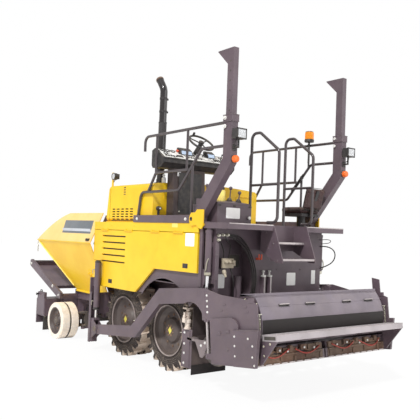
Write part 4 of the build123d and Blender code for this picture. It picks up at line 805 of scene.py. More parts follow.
# ---------- hood, doors and side panels
for side, sign in sides.items():
    # dark sheets behind the grille and the louvres: painted shade standing for the dark engine room seen through the
    # slots
    makeSingle(f"grilleShadeSheet_{side}", "blackPaint", "chassis", addBlock, Matrix(),
               (-0.230, sign * 0.9635 - 0.002, 2.008), (0.470, sign * 0.9635 + 0.002, 2.205))
    bm = bmesh.new()
    addBlock(bm, Matrix(), (-0.160, sign * 1.0125 - 0.002, 1.360), (0.600, sign * 1.0125 + 0.002, 1.800))
    for rear, front in ((-0.160, -0.150), (0.590, 0.600)):
        addBlock(bm, Matrix(), (rear, sign * 1.0145 - 0.006, 1.360), (front, sign * 1.0145 + 0.006, 1.800))
    makePiece(f"louvreShadeSheet_{side}", bm, "blackPaint", f"side_door_{side}")
    # two flush paddle latches near the door's lower edge
    bm = bmesh.new()
    for x in (-1.62, 0.28):
        z = 1.440 if x < 0 else 1.090
        place = sideFace(x, machine["panelY"], z, sign)
        addBlock(bm, place, (-0.055, -0.030, 0), (0.055, 0.030, 0.004))
        addBlock(bm, place, (-0.035, -0.016, 0.004), (0.035, 0.016, 0.010))
    makePiece(f"doorLatches_{side}", bm, "blackPlastic", f"side_door_{side}", bevel=0.0015)
    # folded lip round the door's lower edge
    edge = [(-1.862, 1.368), (-0.898, 1.364), (-0.443, 1.002), (0.488, 1.002)]
    makeSingle(f"doorLip_{side}", "yellowPaint", f"side_door_{side}", addTube,
               [(x, sign * 1.047, z) for x, z in edge], 0.005, 8)
    makeBolts(f"stripScrews_{side}", [sideFace(x, machine["panelY"], 1.93, sign)
                                      for x in (-1.75, -1.05, -0.35, 0.30, 0.78)], 0.007, "yellowPaint", "chassis")
    makeBolts(f"kickBolts_{side}", [sideFace(x, 1.060, 2.037, sign) for x in (-0.430, -1.600)], 0.015,
              "whitePaint", "chassis")
    if side == "left":
        makeLabel("doorSticker", sideFace(-1.700, machine["panelY"], 1.775, sign), 0.190, 0.165, "plainLabel",
                  "side_door_left")
        makeLabel("stripSticker", sideFace(-1.360, machine["panelY"], 1.955, sign), 0.130, 0.055, "paleYellow",
                  "chassis")
    # dark grommet in the corner cap's ear
    makeSingle(f"capGrommet_{side}", "flapRubber", "chassis", addLathe, sideFace(-1.732, 1.052, 2.040, sign),
               [(0.0205, 0), (0.0205, 0.0145), (0.0255, 0.018), (0.0255, 0.020), (0.014, 0.020), (0.012, 0.004),
                (0, 0.004)], 24)
    # louvre frames: a slim raised lip above each slot
    bm = bmesh.new()
    for row in range(5):
        z = 1.580 + 0.096 * (row - 2) + 0.0125
        addTube(bm, [(-0.108, sign * 1.0505, z), (0.558, sign * 1.0505, z)], 0.003, 6)
    makePiece(f"louvreLips_{side}", bm, "yellowPaint", f"side_door_{side}")

hoodFittings = {"latch": (-0.710, 0.894, 2.190), "lamp": (0.446, 0.975, 2.695)}
bm = bmesh.new()
latch = rearFace(*hoodFittings["latch"])
addLathe(bm, latch, [(0.034, 0), (0.034, 0.008), (0.020, 0.014), (0.016, 0.030), (0.028, 0.034), (0.028, 0.052),
                     (0, 0.056)], 20)
addBlock(bm, latch, (-0.014, -0.090, 0.0), (0.014, -0.020, 0.022))
makePiece("hoodLatch", bm, "blackPlastic", "chassis", bevel=0.002)
makeSingle("hoodLatchCap", "whitePaint", "chassis", addLathe, latch @ Matrix.Translation((0, 0, 0.053)),
           [(0.014, 0), (0.014, 0.006), (0, 0.006)], 16)
# pressed ribs on the hood's rear face
bm = bmesh.new()
for line in (((0.80, 2.46), (0.80, 2.33), (0.62, 2.26)), ((0.62, 2.26), (0.62, 2.10), (0.40, 2.06))):
    addTube(bm, [(-0.7115, y, z) for y, z in line], 0.007, 8)
addTube(bm, [(-0.7115, -0.55, 2.10), (-0.7115, -0.55, 2.45), (-0.7115, -0.85, 2.45), (-0.7115, -0.85, 2.10)], 0.006,
        8)
makePiece("hoodRibs", bm, "yellowPaint", "chassis")
# grab handles on the hood's front, and a small pale bottle on its rear
bm = bmesh.new()
for y in (0.86, -0.86):
    front = 0.5905
    addTube(bm, curved([(front, y - 0.055, 2.40), (front + 0.035, y - 0.050, 2.40), (front + 0.040, y, 2.40),
                        (front + 0.035, y + 0.050, 2.40), (front, y + 0.055, 2.40)], 5), 0.009, 8)
makePiece("hoodHandles", bm, "blackPlastic", "chassis")
bottle = topFace(-0.672, 0.790, 2.553)
makeSingle("breatherBottle", "whitePaint", "chassis", addLathe, bottle,
           [(0, 0), (0.030, 0), (0.030, 0.075), (0.014, 0.095), (0.014, 0.108), (0.018, 0.110), (0.018, 0.128),
            (0, 0.130)], 20)
# row of small round vents on each side of the hood, in a plain grid
for side, sign in sides.items():
    bm = bmesh.new()
    for row in range(4):
        for column in range(2):
            addLathe(bm, sideFace(0.085 - 0.032 * column, machine["hoodHalf"], 2.405 + 0.034 * row, sign),
                     [(0.0115, 0), (0.0115, 0.0012), (0, 0.0012)], 14)
    makePiece(f"hoodVents_{side}", bm, "flapRubber", "chassis")
    # seam and hinge line of the hood's front quarter
    makeSingle(f"hoodSeam_{side}", "seamShadow", "chassis", addTube,
               [(0.492, sign * 0.986, 2.012), (0.492, sign * 0.986, 2.500)], 0.0025, 6)
    makeBolts(f"hoodScrews_{side}", [sideFace(x, machine["hoodHalf"], 2.026, sign) for x in (-0.64, -0.36, 0.54)],
              0.007, "yellowPaint", "chassis")
# work lamp on the hood's post: rounded shell, rim and lens
lamp = facing(hoodFittings["lamp"], (0, 1, 0))
bm = bmesh.new()
addLathe(bm, lamp, [(0.040, -0.075), (0.052, -0.050), (0.056, -0.01), (0.056, 0.006), (0.050, 0.010),
                    (0.046, 0.004)], 28)
addBlock(bm, Matrix(), (0.440, 0.915, 2.735), (0.505, 0.935, 2.748))
addTube(bm, [(0.512, 0.94, 2.600), (0.512, 0.925, 2.620), (0.470, 0.925, 2.650)], 0.006, 8)
makePiece("hoodLampShell", bm, "blackPlastic", "chassis", bevel=0.001)
makeSingle("hoodLampLens", "lampGlass", "chassis", addLathe, lamp, [(0.048, 0.002), (0.030, 0.007), (0, 0.009)], 28)

# ---------- exhaust
stack = {"place": (-0.240, 0.560), "clamps": (3.680, 3.877), "shield": (2.80, 3.52)}
for number, z in enumerate(stack["clamps"]):
    ring = topFace(*stack["place"], z)
    bm = bmesh.new()
    addLathe(bm, ring, [(0.0565, -0.016), (0.0600, -0.016), (0.0600, 0.016), (0.0565, 0.016)], 36)
    for low in (-0.010, 0.006):
        addBlock(bm, ring, (0.058, low, -0.014), (0.084, low + 0.004, 0.014))
    addTube(bm, [ring @ Vector((0.074, -0.018, 0)), ring @ Vector((0.074, 0.018, 0))], 0.005, 6)
    makePiece(f"stackClamp{number}", bm, "blackPaint", "chassis")
shield = topFace(*stack["place"], stack["shield"][0])
height = stack["shield"][1] - stack["shield"][0]
# heat shield: a smooth sleeve with a rolled bead at each end
makeSingle("heatShield", "glossBlack", "chassis", addLathe, shield,
           [(0.0570, 0), (0.0640, 0.002), (0.0640, 0.020), (0.0610, 0.026), (0.0610, height - 0.026),
            (0.0640, height - 0.020), (0.0640, height - 0.002), (0.0570, height)], 40)
makeBolts("flangeBolts", [facing((stack["place"][0] + 0.080 * math.cos(t), stack["place"][1] + 0.080 * math.sin(t),
                                  2.600), (0, 0, 1), (1, 0, 0)) for t in (0.6, 2.17, 3.74, 5.31)], 0.009,
          "rustySteel", "chassis")
makeSingle("stackLip", "rustySteel", "chassis", addLathe,
           facing((-0.110, 0.560, 4.198), (0.588, 0, 0.809), (0, 1, 0)),
           [(0.0560, -0.030), (0.0600, -0.030), (0.0600, -0.004), (0.0560, 0.0)], 32)
print("hood, doors and exhaust placed")

# ---------- platform edge and stair
treadDrops = (0.214, 0.419)
for side, sign in sides.items():
    bm = bmesh.new()
    addSided(bm, Matrix(), (-2.4415, 0.310, 1.988), (-2.4395, 1.030, 2.0005), sign)
    makePiece(f"deckNosing_{side}", bm, "wornSteel", "chassis")
bm = bmesh.new()
for rear, drop in zip((-2.4105, -2.6005), treadDrops):
    tread = machine["floorZ"] - drop
    addBlock(bm, Matrix(), (rear - 0.001, -0.288, tread - 0.022), (rear + 0.030, 0.288, tread + 0.0015))
makePiece("stairNosings", bm, "wornSteel", "chassis", bevel=0.001)
bm = bmesh.new()
# raised studs of the anti-slip treads, turned from row to row
across, rowStep = 18, 0.030
for (front, rear), drop in zip(((-2.235, -2.375), (-2.385, -2.565)), treadDrops):
    for row in range(int((front - rear) / rowStep)):
        for k in range(across):
            y = -0.27 + 0.54 * (k + 0.5 * (row % 2)) / across
            place = Matrix.Translation((rear + rowStep * (row + 0.5), y, machine["floorZ"] - drop))
            addStud(bm, place, row + k, 0.008, 0.0025, 0.0025)
makePiece("treadStuds", bm, "darkPaint", "chassis")
makeBolts("stairBolts", [facing((-2.46 - dx, sign * 0.302, 2 - dz), (0, sign, 0)) for sign in (1, -1) for dx,
                         dz in ((-0.15, 0.10), (-0.02, 0.235), (0.06, 0.44), (-0.10, 0.30))], 0.010, "darkPaint",
          "chassis")
# deck plate pattern between the hood and the stair
bm = bmesh.new()
for row in range(30):
    for column in range(24):
        x, y = -2.18 + 0.048 * row, -0.92 + 0.080 * column
        if -2.07 < x < -1.55 and 0.33 < y < 0.93:
            continue
        addStud(bm, Matrix.Translation((x, y, machine["floorZ"])), row + column, 0.016, 0.004, 0.002)
makePiece("deckStuds", bm, "darkPaint", "chassis")

# ---------- rear wall: valve block, hoses, stickers, guide posts' caps
wallX = -2.110
makeLabel("wallSticker0", rearFace(-1.920, 0.735, 1.262), 0.190, 0.175, "plainLabel", "chassis")
makeLabel("wallSticker1", rearFace(wallX, -0.375, 1.290), 0.170, 0.170, "plainLabel", "chassis")
makeLabel("wallSticker2", rearFace(wallX, -0.815, 1.310), 0.080, 0.190, "plainLabel", "chassis")
bm = bmesh.new()
valve = rearFace(-2.052, 0.725, 1.500)
addBlock(bm, valve, (-0.085, -0.060, 0), (0.085, 0.060, 0.040))
for x in (-0.055, 0.0, 0.055):
    addLathe(bm, valve @ Matrix.Translation((x, 0.02, 0.04)),
             [(0.024, 0), (0.024, 0.03), (0.018, 0.045), (0, 0.048)], 16)
addLathe(bm, valve @ Matrix.Translation((-0.060, -0.09, 0.02)) @ Matrix.Rotation(math.radians(60), 4, "X"),
         [(0.026, 0), (0.026, 0.04), (0.020, 0.045), (0.014, 0.09), (0, 0.095)], 16)
addBlock(bm, valve, (0.085, -0.035, 0.0), (0.125, 0.035, 0.030))
makePiece("valveBlock", bm, "beigeCasting", "chassis", bevel=0.003)
bm = bmesh.new()
for y, z in ((0.93, 1.845), (0.86, 1.850), (0.93, 1.790), (0.79, 1.852)):
    addLathe(bm, rearFace(wallX, y, z), [(0.022, 0), (0.022, 0.022), (0.015, 0.024), (0.015, 0.045), (0, 0.045)], 6)
makePiece("wallFittings", bm, "zincFitting", "chassis")
bm = bmesh.new()
for y in (0.270, 0.225):
    addLathe(bm, rearFace(wallX, y, 1.560), [(0.016, 0), (0.016, 0.014), (0.010, 0.016), (0.010, 0.050),
                                             (0, 0.052)], 12)
    addTube(bm, [(wallX - 0.045, y, 1.560), (wallX - 0.045, y, 1.620)], 0.009, 8)
makePiece("redFittings", bm, "redFitting", "chassis")
bm = bmesh.new()
for y in (0.060, 0.170):
    addBlock(bm, Matrix(), (-2.1745, y - 0.0185, 1.328), (-2.106, y + 0.0185, 1.352))
    addLathe(bm, topFace(-2.140, y, 1.352), [(0.012, 0), (0.010, 0.035), (0.020, 0.045),
                                                                      (0.020, 0.060), (0, 0.062)], 14)
makePiece("postCaps", bm, "whitePaint", "chassis", bevel=0.0015)
bm = bmesh.new()
for y in (0.060, 0.170):
    addBlock(bm, Matrix(), (-2.1725, y - 0.0105, 1.00), (-2.1695, y + 0.0105, 1.328))
makePiece("postFaces", bm, "wornSteel", "chassis", bevel=0.001)
# dark hatch in the bay's back wall with its frame
hatchAt = rearFace(-1.920, 0.490, 1.520)
makeSingle("bayHatch", "flapRubber", "chassis", addBlock, hatchAt, (-0.085, -0.080, 0),
           (0.085, 0.080, 0.0015))
bm = bmesh.new()
for low, high in (((-0.095, 0.080), (0.095, 0.092)), ((-0.095, -0.092), (0.095, -0.080)),
                  ((-0.097, -0.092), (-0.085, 0.092)), ((0.085, -0.092), (0.097, 0.092))):
    addBlock(bm, hatchAt, (*low, 0), (*high, 0.008))
makePiece("hatchFrame", bm, "darkPaint", "chassis", bevel=0.001)
# hoses that leave a fitting, follow the arch of the bay and go back in at the foot
for number, shift in enumerate((0.0, 0.030, 0.062)):
    out = wallX - 0.026
    makeHose(f"archHose{number}", [(wallX - 0.022, 0.790 - 0.6 * shift, 1.852 - 0.2 * shift),
                                   (out - 0.040, 0.700, 1.860 - shift), (out, 0.560 + shift, 1.822 - 0.7 * shift),
                                   (out, 0.430 + shift, 1.700 - 0.3 * shift), (out, 0.325 + shift, 1.500),
                                   (out, 0.285 + shift, 1.330), (out, 0.300 + 0.8 * shift, 1.180),
                                   (wallX - 0.002, 0.325 + shift, 1.040)],
             0.019, "blackHose", "chassis")
hoseRoutes = {
    "valveHose0": (0.016, [(-2.052, 0.780, 1.560), (-2.085, 0.800, 1.640), (-2.105, 0.850, 1.720),
                           (-2.135, 0.900, 1.760), (-2.130, 0.930, 1.790)]),
    "valveHose1": (0.016, [(-2.052, 0.700, 1.560), (-2.075, 0.690, 1.660), (-2.130, 0.740, 1.750),
                           (-2.150, 0.820, 1.800), (-2.130, 0.860, 1.850)]),
    "valveHose2": (0.016, [(-2.050, 0.660, 1.440), (-2.100, 0.640, 1.300), (-2.050, 0.600, 1.150),
                           (-2.010, 0.560, 1.012)]),
    "cableLoop0": (0.010, [(wallX, -0.930, 1.830), (-2.190, -0.975, 1.845), (-2.215, -1.060, 1.830),
                           (-2.160, -1.085, 1.790), (-2.110, -1.000, 1.780), (wallX + 0.010, -0.950, 1.775)]),
    "cableLoop1": (0.016, [(wallX, -0.940, 1.740), (-2.200, -0.990, 1.750), (-2.245, -1.100, 1.690),
                           (-2.240, -1.125, 1.580), (-2.180, -1.080, 1.480), (wallX + 0.002, -0.950, 1.430)]),
}
for name, (diameter, route) in hoseRoutes.items():
    makeHose(name, route, diameter, "blackHose", "chassis")
makeBolts("wallBolts", [rearFace(wallX, y, z) for y in (-0.90, -0.55, -0.10) for z in (0.98, 1.42, 1.86)]
          + [rearFace(wallX, 0.93, z) for z in (0.98, 1.30, 1.60)], 0.009, "darkPaint", "chassis")
for side, sign in sides.items():
    bm = bmesh.new()
    gland = facing((-2.040, sign * 1.012, 1.358), (0, 0, -1), (1, 0, 0))
    addLathe(bm, gland, [(0.044, -0.03), (0.044, 0.004), (0.032, 0.010), (0.024, 0.012), (0.024, 0.018)], 28)
    addTube(bm, curved([(-2.040, sign * 1.055, 1.40), (-2.065, sign * 1.062, 1.42), (-2.075, sign * 1.062, 1.50),
                        (-2.070, sign * 1.030, 1.56), (-2.060, sign * 0.985, 1.60)], 6), 0.008, 8)
    makePiece(f"liftGland_{side}", bm, "zincFitting", "chassis")
    makeSingle(f"liftHead_{side}", "darkPaint", "chassis", addLathe, topFace(-2.040, sign * 1.012, 1.895),
               [(0.0425, -0.03), (0.046, -0.028), (0.046, 0.004), (0.0425, 0.008)], 28)
print("platform and rear wall placed")

# ---------- masts, lamps and beacon
mast = {"pinZ": (3.252, 3.150), "lampX": -2.566, "lampZ": 3.045, "markerZ": 2.754}
for side, sign in sides.items():
    y = sign * machine["mastY"]
    # collar pins with washers, and a seam where the collar is welded
    bm = bmesh.new()
    for z in mast["pinZ"]:
        place = sideFace(machine["mastX"] + 0.045, machine["mastY"] + 0.056, z, sign)
        addLathe(bm, place, [(0.026, 0), (0.026, 0.006), (0.018, 0.008), (0.016, 0.022), (0, 0.024)], 20)
        inner = sideFace(machine["mastX"] + 0.045, machine["mastY"] - 0.056, z, sign)
        addLathe(bm, inner @ Matrix.Diagonal((1, 1, -1, 1)), [(0.020, 0), (0.020, 0.012), (0, 0.014)], 16)
    makePiece(f"collarPins_{side}", bm, "whitePaint", "chassis")
    bm = bmesh.new()
    for z in (3.206, 3.288):
        addTube(bm, [(machine["mastX"] + dx, y + dy, z) for dx, dy in
                     ((-0.0845, -0.057), (0.0845, -0.057), (0.0845, 0.057), (-0.0845, 0.057), (-0.0845, -0.0568))],
                0.003, 6)
    makePiece(f"collarWeld_{side}", bm, "darkPaint", "chassis")
    # row of locating holes up the sliding post and bolts in its canopy seat
    bm = bmesh.new()
    for k in range(6):
        z = 3.34 + 0.12 * k
        addLathe(bm, sideFace(machine["mastX"], machine["mastY"] + 0.038, z, sign),
                 [(0.0115, 0), (0.0115, 0.0012), (0, 0.0012)], 16)
    makePiece(f"postHoles_{side}", bm, "flapRubber", f"mast_upper_{side}")
    makeBolts(f"seatBolts_{side}", [topFace(machine["mastX"] + x, y, 4.100) for x in (0.106, 0.206)],
              0.012, "zincFitting", f"mast_upper_{side}")
    # work lamp: a rounded shell, a bezel, a bright bowl behind clear glass, cooling ribs and a cable
    lens = rearFace(mast["lampX"], y, mast["lampZ"])
    bm = bmesh.new()
    for low, high in (((-0.074, 0.048), (0.074, 0.064)), ((-0.074, -0.064), (0.074, -0.048)),
                      ((-0.074, -0.064), (-0.058, 0.064)), ((0.058, -0.064), (0.074, 0.064))):
        addBlock(bm, lens, (*low, -0.012), (*high, 0.012))
    for k in range(5):
        addBlock(bm, lens, (-0.060 + 0.027 * k, -0.052, -0.104), (-0.052 + 0.027 * k, 0.052, -0.088))
    makePiece(f"lampBezel_{side}", bm, "blackPlastic", "chassis", bevel=0.003)
    makeSingle(f"lampBowl_{side}", "whitePaint", "chassis", addBlock, lens, (-0.060, -0.050, 0.0005),
               (0.060, 0.050, 0.004))
    bm = bmesh.new()
    addBlock(bm, lens, (-0.060, -0.050, 0.005), (0.060, 0.050, 0.009))
    for k in range(5):
        addBlock(bm, lens, (-0.052 + 0.024 * k, -0.050, 0.009), (-0.044 + 0.024 * k, 0.050, 0.0105))
    makePiece(f"lampLens_{side}", bm, "lampGlass", "chassis", bevel=0.001)
    bm = bmesh.new()
    addTube(bm, curved([(-2.516, y, 2.990), (-2.505, y + sign * 0.030, 2.965), (-2.480, y + sign * 0.032, 2.935),
                        (-2.440, y + sign * 0.020, 2.915)], 6), 0.006, 8)
    addBlock(bm, rearFace(machine["mastRear"], y, 2.890), (-0.030, -0.036, 0), (0.030, 0.036, 0.008))
    makePiece(f"lampBracket_{side}", bm, "blackPlastic", "chassis", bevel=0.001)
    # orange marker drum with a black foot and a moulded cap
    marker = rearFace(machine["mastRear"], y, mast["markerZ"])
    makeSingle(f"markerLens_{side}", "orangeMarker", "chassis", addLathe, marker,
               [(0.0405, 0.008), (0.0425, 0.012), (0.0430, 0.030), (0.0415, 0.052), (0.0360, 0.060),
                (0.0160, 0.066), (0, 0.066)], 32)
    makeSingle(f"markerFoot_{side}", "blackPlastic", "chassis", addLathe, marker,
               [(0.0405, 0), (0.0460, 0.001), (0.0460, 0.010), (0.0405, 0.013)], 32)

beacon = {"place": (-1.810, -0.979), "foot": 3.290}
bm = bmesh.new()
glass = topFace(*beacon["place"], beacon["foot"])
addLathe(bm, glass, [(0.0585, 0.006), (0.0635, 0.010), (0.0630, 0.100), (0.0560, 0.118), (0.0400, 0.127),
                     (0, 0.130)], 40)
for k in range(20):
    turn = 2 * math.pi * k / 20
    at = glass @ Matrix.Rotation(turn, 4, "Z")
    addTube(bm, [at @ Vector((0.0632, 0, 0.012)), at @ Vector((0.0628, 0, 0.098))], 0.0016, 6)
makePiece("beaconGlass", bm, "amberGlass", "chassis")
bm = bmesh.new()
addLathe(bm, glass, [(0.058, -0.036), (0.0685, -0.034), (0.0700, -0.004), (0.0660, 0.006), (0.058, 0.006)], 40)
addTube(bm, curved([(beacon["place"][0] + dx, beacon["place"][1], z)
                    for dx, z in ((0.010, 3.255), (0.030, 3.20), (0.017, 3.10), (0.018, 2.95))], 6), 0.004, 6)
makePiece("beaconFoot", bm, "blackPlastic", "chassis", bevel=0.001)
# dark padded grip along the right sloping rail, banded at both ends
grip = {"from": (-1.47, -0.985, 2.56), "to": (-1.70, -0.985, 2.80), "aside": (-0.035, 0.018, -0.02)}
bm = bmesh.new()
line = [Vector(grip["from"]).lerp(Vector(grip["to"]), k / 12) + Vector(grip["aside"]) for k in range(13)]
addTube(bm, line, 0.022, 12)
for k in (2, 10):
    addTube(bm, [line[k] + Vector((-0.012, 0, -0.012)), line[k] + Vector((0.012, 0, 0.012))], 0.0245, 12)
makePiece("railGrip", bm, "blackHose", "chassis")
print("masts and lamps placed")

# ---------- operator's desk: fascia, instruments, switches and levers
desk = {"top": (-0.700, 3.040), "fall": (-0.848, -0.530)}


def deskFace(y, down, lift=0.0):
    # a place on the sloping desk, by the distance down from its upper edge
    x = desk["top"][0] + desk["fall"][0] * down - 0.53 * lift
    z = desk["top"][1] + desk["fall"][1] * down + 0.848 * lift
    return facing((x, y, z), (-0.53, 0, 0.848))


bm = bmesh.new()
for left, right in ((0.950, 0.560), (0.545, 0.085), (0.070, -0.270)):
    addBlock(bm, deskFace((left + right) / 2, 0.145), (-(left - right) / 2, -0.115, 0),
             ((left - right) / 2, 0.115, 0.005))
makePiece("deskFascia", bm, "whitePaint", "chassis", bevel=0.003)
# raised binnacle with a tilted pale face, over the steering column
bm = bmesh.new()
section = [(-0.705, 3.042), (-0.820, 2.975), (-0.800, 3.045), (-0.735, 3.088), (-0.705, 3.085)]
for y, width in ((0.400, 0.210), (-0.020, 0.150)):
    sideOn = Matrix(((1, 0, 0, 0), (0, 0, 1, y), (0, 1, 0, 0), (0, 0, 0, 1)))
    addPrism(bm, sideOn, section, width)
makePiece("binnacleShell", bm, "blackPlastic", "chassis", bevel=0.004)
bm = bmesh.new()
for y, width in ((0.505, 0.180), (0.055, 0.120)):
    face = facing((-0.8135, y, 3.008), (-0.96, 0, 0.28))
    addBlock(bm, face, (-width / 2, -0.024, 0), (width / 2, 0.030, 0.004))
makePiece("binnacleScreens", bm, "paleScreen", "chassis", bevel=0.001)
# round gauges with bezels, in two rows
bm = bmesh.new()
dials = bmesh.new()
for y, down in ((0.885, 0.060), (0.800, 0.060), (0.715, 0.060), (0.350, 0.060), (0.270, 0.060), (0.885, 0.150),
                (0.130, 0.070)):
    face = deskFace(y, down, 0.005)
    addLathe(bm, face, [(0.034, 0), (0.034, 0.010), (0.029, 0.013), (0.026, 0.010), (0.026, 0.003)], 28)
    addLathe(dials, face, [(0.0262, 0.003), (0, 0.0035)], 28)
    addBlock(bm, face @ Matrix.Rotation(0.8 + 3 * y, 4, "Z"), (-0.0015, 0, 0.0035), (0.0015, 0.020, 0.005))
makePiece("gaugeBezels", bm, "blackPlastic", "chassis")
makePiece("gaugeDials", dials, "plainLabel", "chassis")
# rocker switches and dark key pads
bm = bmesh.new()
for left, count, down in ((0.930, 5, 0.215), (0.640, 2, 0.100), (0.530, 6, 0.200), (0.530, 4, 0.130),
                          (0.050, 5, 0.170), (0.050, 5, 0.215), (-0.110, 3, 0.075)):
    for k in range(count):
        face = deskFace(left - 0.020 - 0.045 * k, down, 0.005)
        addBlock(bm, face, (-0.015, -0.017, 0), (0.015, 0.017, 0.004))
        addBlock(bm, face @ Matrix.Rotation(math.radians(12), 4, "X"), (-0.010, -0.012, 0.002), (0.010, 0.012, 0.009))
for y, down, half in ((0.655, 0.190, 0.050), (-0.195, 0.150, 0.055)):
    addBlock(bm, deskFace(y, down, 0.005), (-half, -0.034, 0), (half, 0.034, 0.003))
makePiece("deskSwitches", bm, "blackPlastic", "chassis", bevel=0.0015)
bm = bmesh.new()
for y, down in ((0.625, 0.045), (-0.235, 0.060)):
    addLathe(bm, deskFace(y, down, 0.005), [(0.014, 0), (0.014, 0.012), (0.024, 0.016), (0.024, 0.026),
                                            (0.018, 0.031), (0, 0.032)], 24)
makePiece("stopButtons", bm, "redFitting", "chassis")
bm = bmesh.new()
for y, down in ((0.205, 0.110), (0.160, 0.110), (-0.130, 0.120)):
    face = deskFace(y, down, 0.005)
    addLathe(bm, face, [(0.012, 0), (0.010, 0.018), (0.005, 0.022), (0.005, 0.060), (0.012, 0.070), (0.012, 0.086),
                        (0, 0.092)], 14)
makePiece("deskLevers", bm, "blackPlastic", "chassis")
# folded rim under the desk, the pedestal's door, its blank plate and its screws
bm = bmesh.new()
addTube(bm, [(-0.944, 0.975, 2.888), (-0.944, -0.295, 2.888)], 0.007, 8)
addTube(bm, [(-0.700, 0.981, 3.036), (-0.938, 0.981, 2.888)], 0.005, 8)
addBlock(bm, rearFace(-0.880, 0.480, 2.420), (-0.200, -0.290, 0.006), (0.200, 0.290, 0.016))
makePiece("deskRim", bm, "blackPlastic", "chassis", bevel=0.002)
makeLabel("pedestalSticker", rearFace(-0.873, 0.670, 2.700), 0.055, 0.085, "plainLabel", "chassis")
makeBolts("pedestalScrews", [rearFace(x, y, z) for x, y, z in ((-0.8955, 0.30, 2.16), (-0.8955, 0.66, 2.16),
                                                              (-0.8790, 0.30, 2.68), (-0.8790, 0.66, 2.68))],
          0.008, "zincFitting", "chassis")
hub = facing((-0.815, 0.25, 3.190), (-0.616, 0, 0.788))
makeSingle("wheelHubCap", "blackPlastic", "steering_wheel", addLathe, hub,
           [(0.0385, 0.004), (0.042, 0.008), (0.040, 0.020), (0.020, 0.028), (0, 0.029)], 28)
bm = bmesh.new()
for k in range(60):
    turn = 2 * math.pi * k / 60
    addTube(bm, [hub @ Vector((0.1755 * math.cos(turn), 0.1755 * math.sin(turn), -0.005)),
                 hub @ Vector((0.1735 * math.cos(turn), 0.1735 * math.sin(turn), 0.0)),
                 hub @ Vector((0.1755 * math.cos(turn), 0.1755 * math.sin(turn), 0.005))], 0.0028, 6)
makePiece("rimGrips", bm, "blackPlastic", "steering_wheel")
print("desk placed")

# ---------- control cabinet at the stair
cabinetRear = -2.060
makeSingle("cabinetTray", "darkPaint", "chassis", addBlock, Matrix(), (-2.064, 0.341, 2.214),
           (-1.556, 0.914, 2.2335), bevel=0.002)
makeLabel("cabinetSticker", rearFace(cabinetRear, 0.655, 2.130), 0.230, 0.135, "plainLabel", "chassis")
makeSingle("cabinetKnob", "whitePaint", "chassis", addLathe, rearFace(cabinetRear, 0.395, 2.080),
           [(0.012, 0), (0.012, 0.012), (0.022, 0.016), (0.022, 0.030), (0, 0.034)], 20)
bm = bmesh.new()
for x, y in ((-1.760, 0.470), (-1.860, 0.400), (-1.700, 0.820)):
    boot = topFace(x, y, 2.262 + 0.14 * (x + 2.04))
    addLathe(bm, boot, [(0.040, -0.004), (0.040, 0.010), (0.032, 0.014), (0.034, 0.020), (0.026, 0.026),
                        (0.028, 0.032), (0.018, 0.040), (0.010, 0.046)], 20)
for y in (0.375, 0.640, 0.880):
    addBlock(bm, rearFace(cabinetRear, y, 2.222), (-0.020, -0.010, 0.003), (0.020, 0.010, 0.010))
makePiece("leverBoots", bm, "flapRubber", "chassis", bevel=0.001)
bm = bmesh.new()
# two small tanks with black filler caps on the cabinet's lid
for x, y, radius, height in ((-1.780, 0.640, 0.062, 0.150), (-1.640, 0.660, 0.045, 0.110)):
    tank = topFace(x, y, 2.285)
    addLathe(bm, tank, [(radius * 0.94, 0), (radius, 0.008), (radius, height - 0.02), (radius * 0.8, height),
                        (0, height + 0.004)], 32)
makePiece("lidTanks", bm, "paleYellow", "chassis")
bm = bmesh.new()
for x, y, radius, top in ((-1.780, 0.640, 0.046, 2.435), (-1.640, 0.660, 0.034, 2.395)):
    cap = topFace(x, y, top)
    addLathe(bm, cap, [(radius, 0), (radius, 0.034), (radius * 0.85, 0.042), (0, 0.042)], 24)
    for k in range(12):
        turn = 2 * math.pi * k / 12
        addTube(bm, [cap @ Vector((radius * math.cos(turn), radius * math.sin(turn), 0.003)),
                     cap @ Vector((radius * math.cos(turn), radius * math.sin(turn), 0.032))], 0.003, 6)
makePiece("fillerCaps", bm, "blackPlastic", "chassis")
bm = bmesh.new()
addBlock(bm, Matrix(), (-2.036, 0.362, 2.2335), (-1.604, 0.894, 2.2400))
for y in (0.50, 0.76):
    addBlock(bm, Matrix(), (-1.604, y - 0.030, 2.236), (-1.590, y + 0.030, 2.300))
makePiece("lidHinges", bm, "zincFitting", "chassis", bevel=0.001)
print("cabinet placed")

# ---------- screed: cover, walkway, gates and what hangs under them
screed = {"coverTop": (-3.540, 0.415), "coverMiddle": (-3.640, 0.170), "coverFoot": (-3.626, -0.010),
          "coverHalf": 1.075, "plateY": 1.164, "gateFront": 1.194, "gateRear": 1.210, "walkHalf": 1.110}


def circleThrough(a, b, c):
    (ax, ay), (bx, by), (cx, cy) = a, b, c
    d = 2 * (ax * (by - cy) + bx * (cy - ay) + cx * (ay - by))
    sa, sb, sc = ax * ax + ay * ay, bx * bx + by * by, cx * cx + cy * cy
    middle = Vector(((sa * (by - cy) + sb * (cy - ay) + sc * (ay - by)) / d,
                     (sa * (cx - bx) + sb * (ax - cx) + sc * (bx - ax)) / d))
    return middle, (Vector(a) - middle).length


coverMiddle, coverRadius = circleThrough(screed["coverTop"], screed["coverMiddle"], screed["coverFoot"])


def coverAt(w, lift=0.0):
    # the place on the curved cover at that height in the screed's frame, lifted along its normal
    rise = w - coverMiddle.y
    out = Vector((-math.sqrt(coverRadius ** 2 - rise ** 2), rise)).normalized()
    return coverMiddle + out * (coverRadius + lift), out


def coverFace(y, w, lift=0.0):
    at, out = coverAt(w, lift)
    return screedPlace @ facing((at.x, y, at.y), (out.x, 0, out.y))


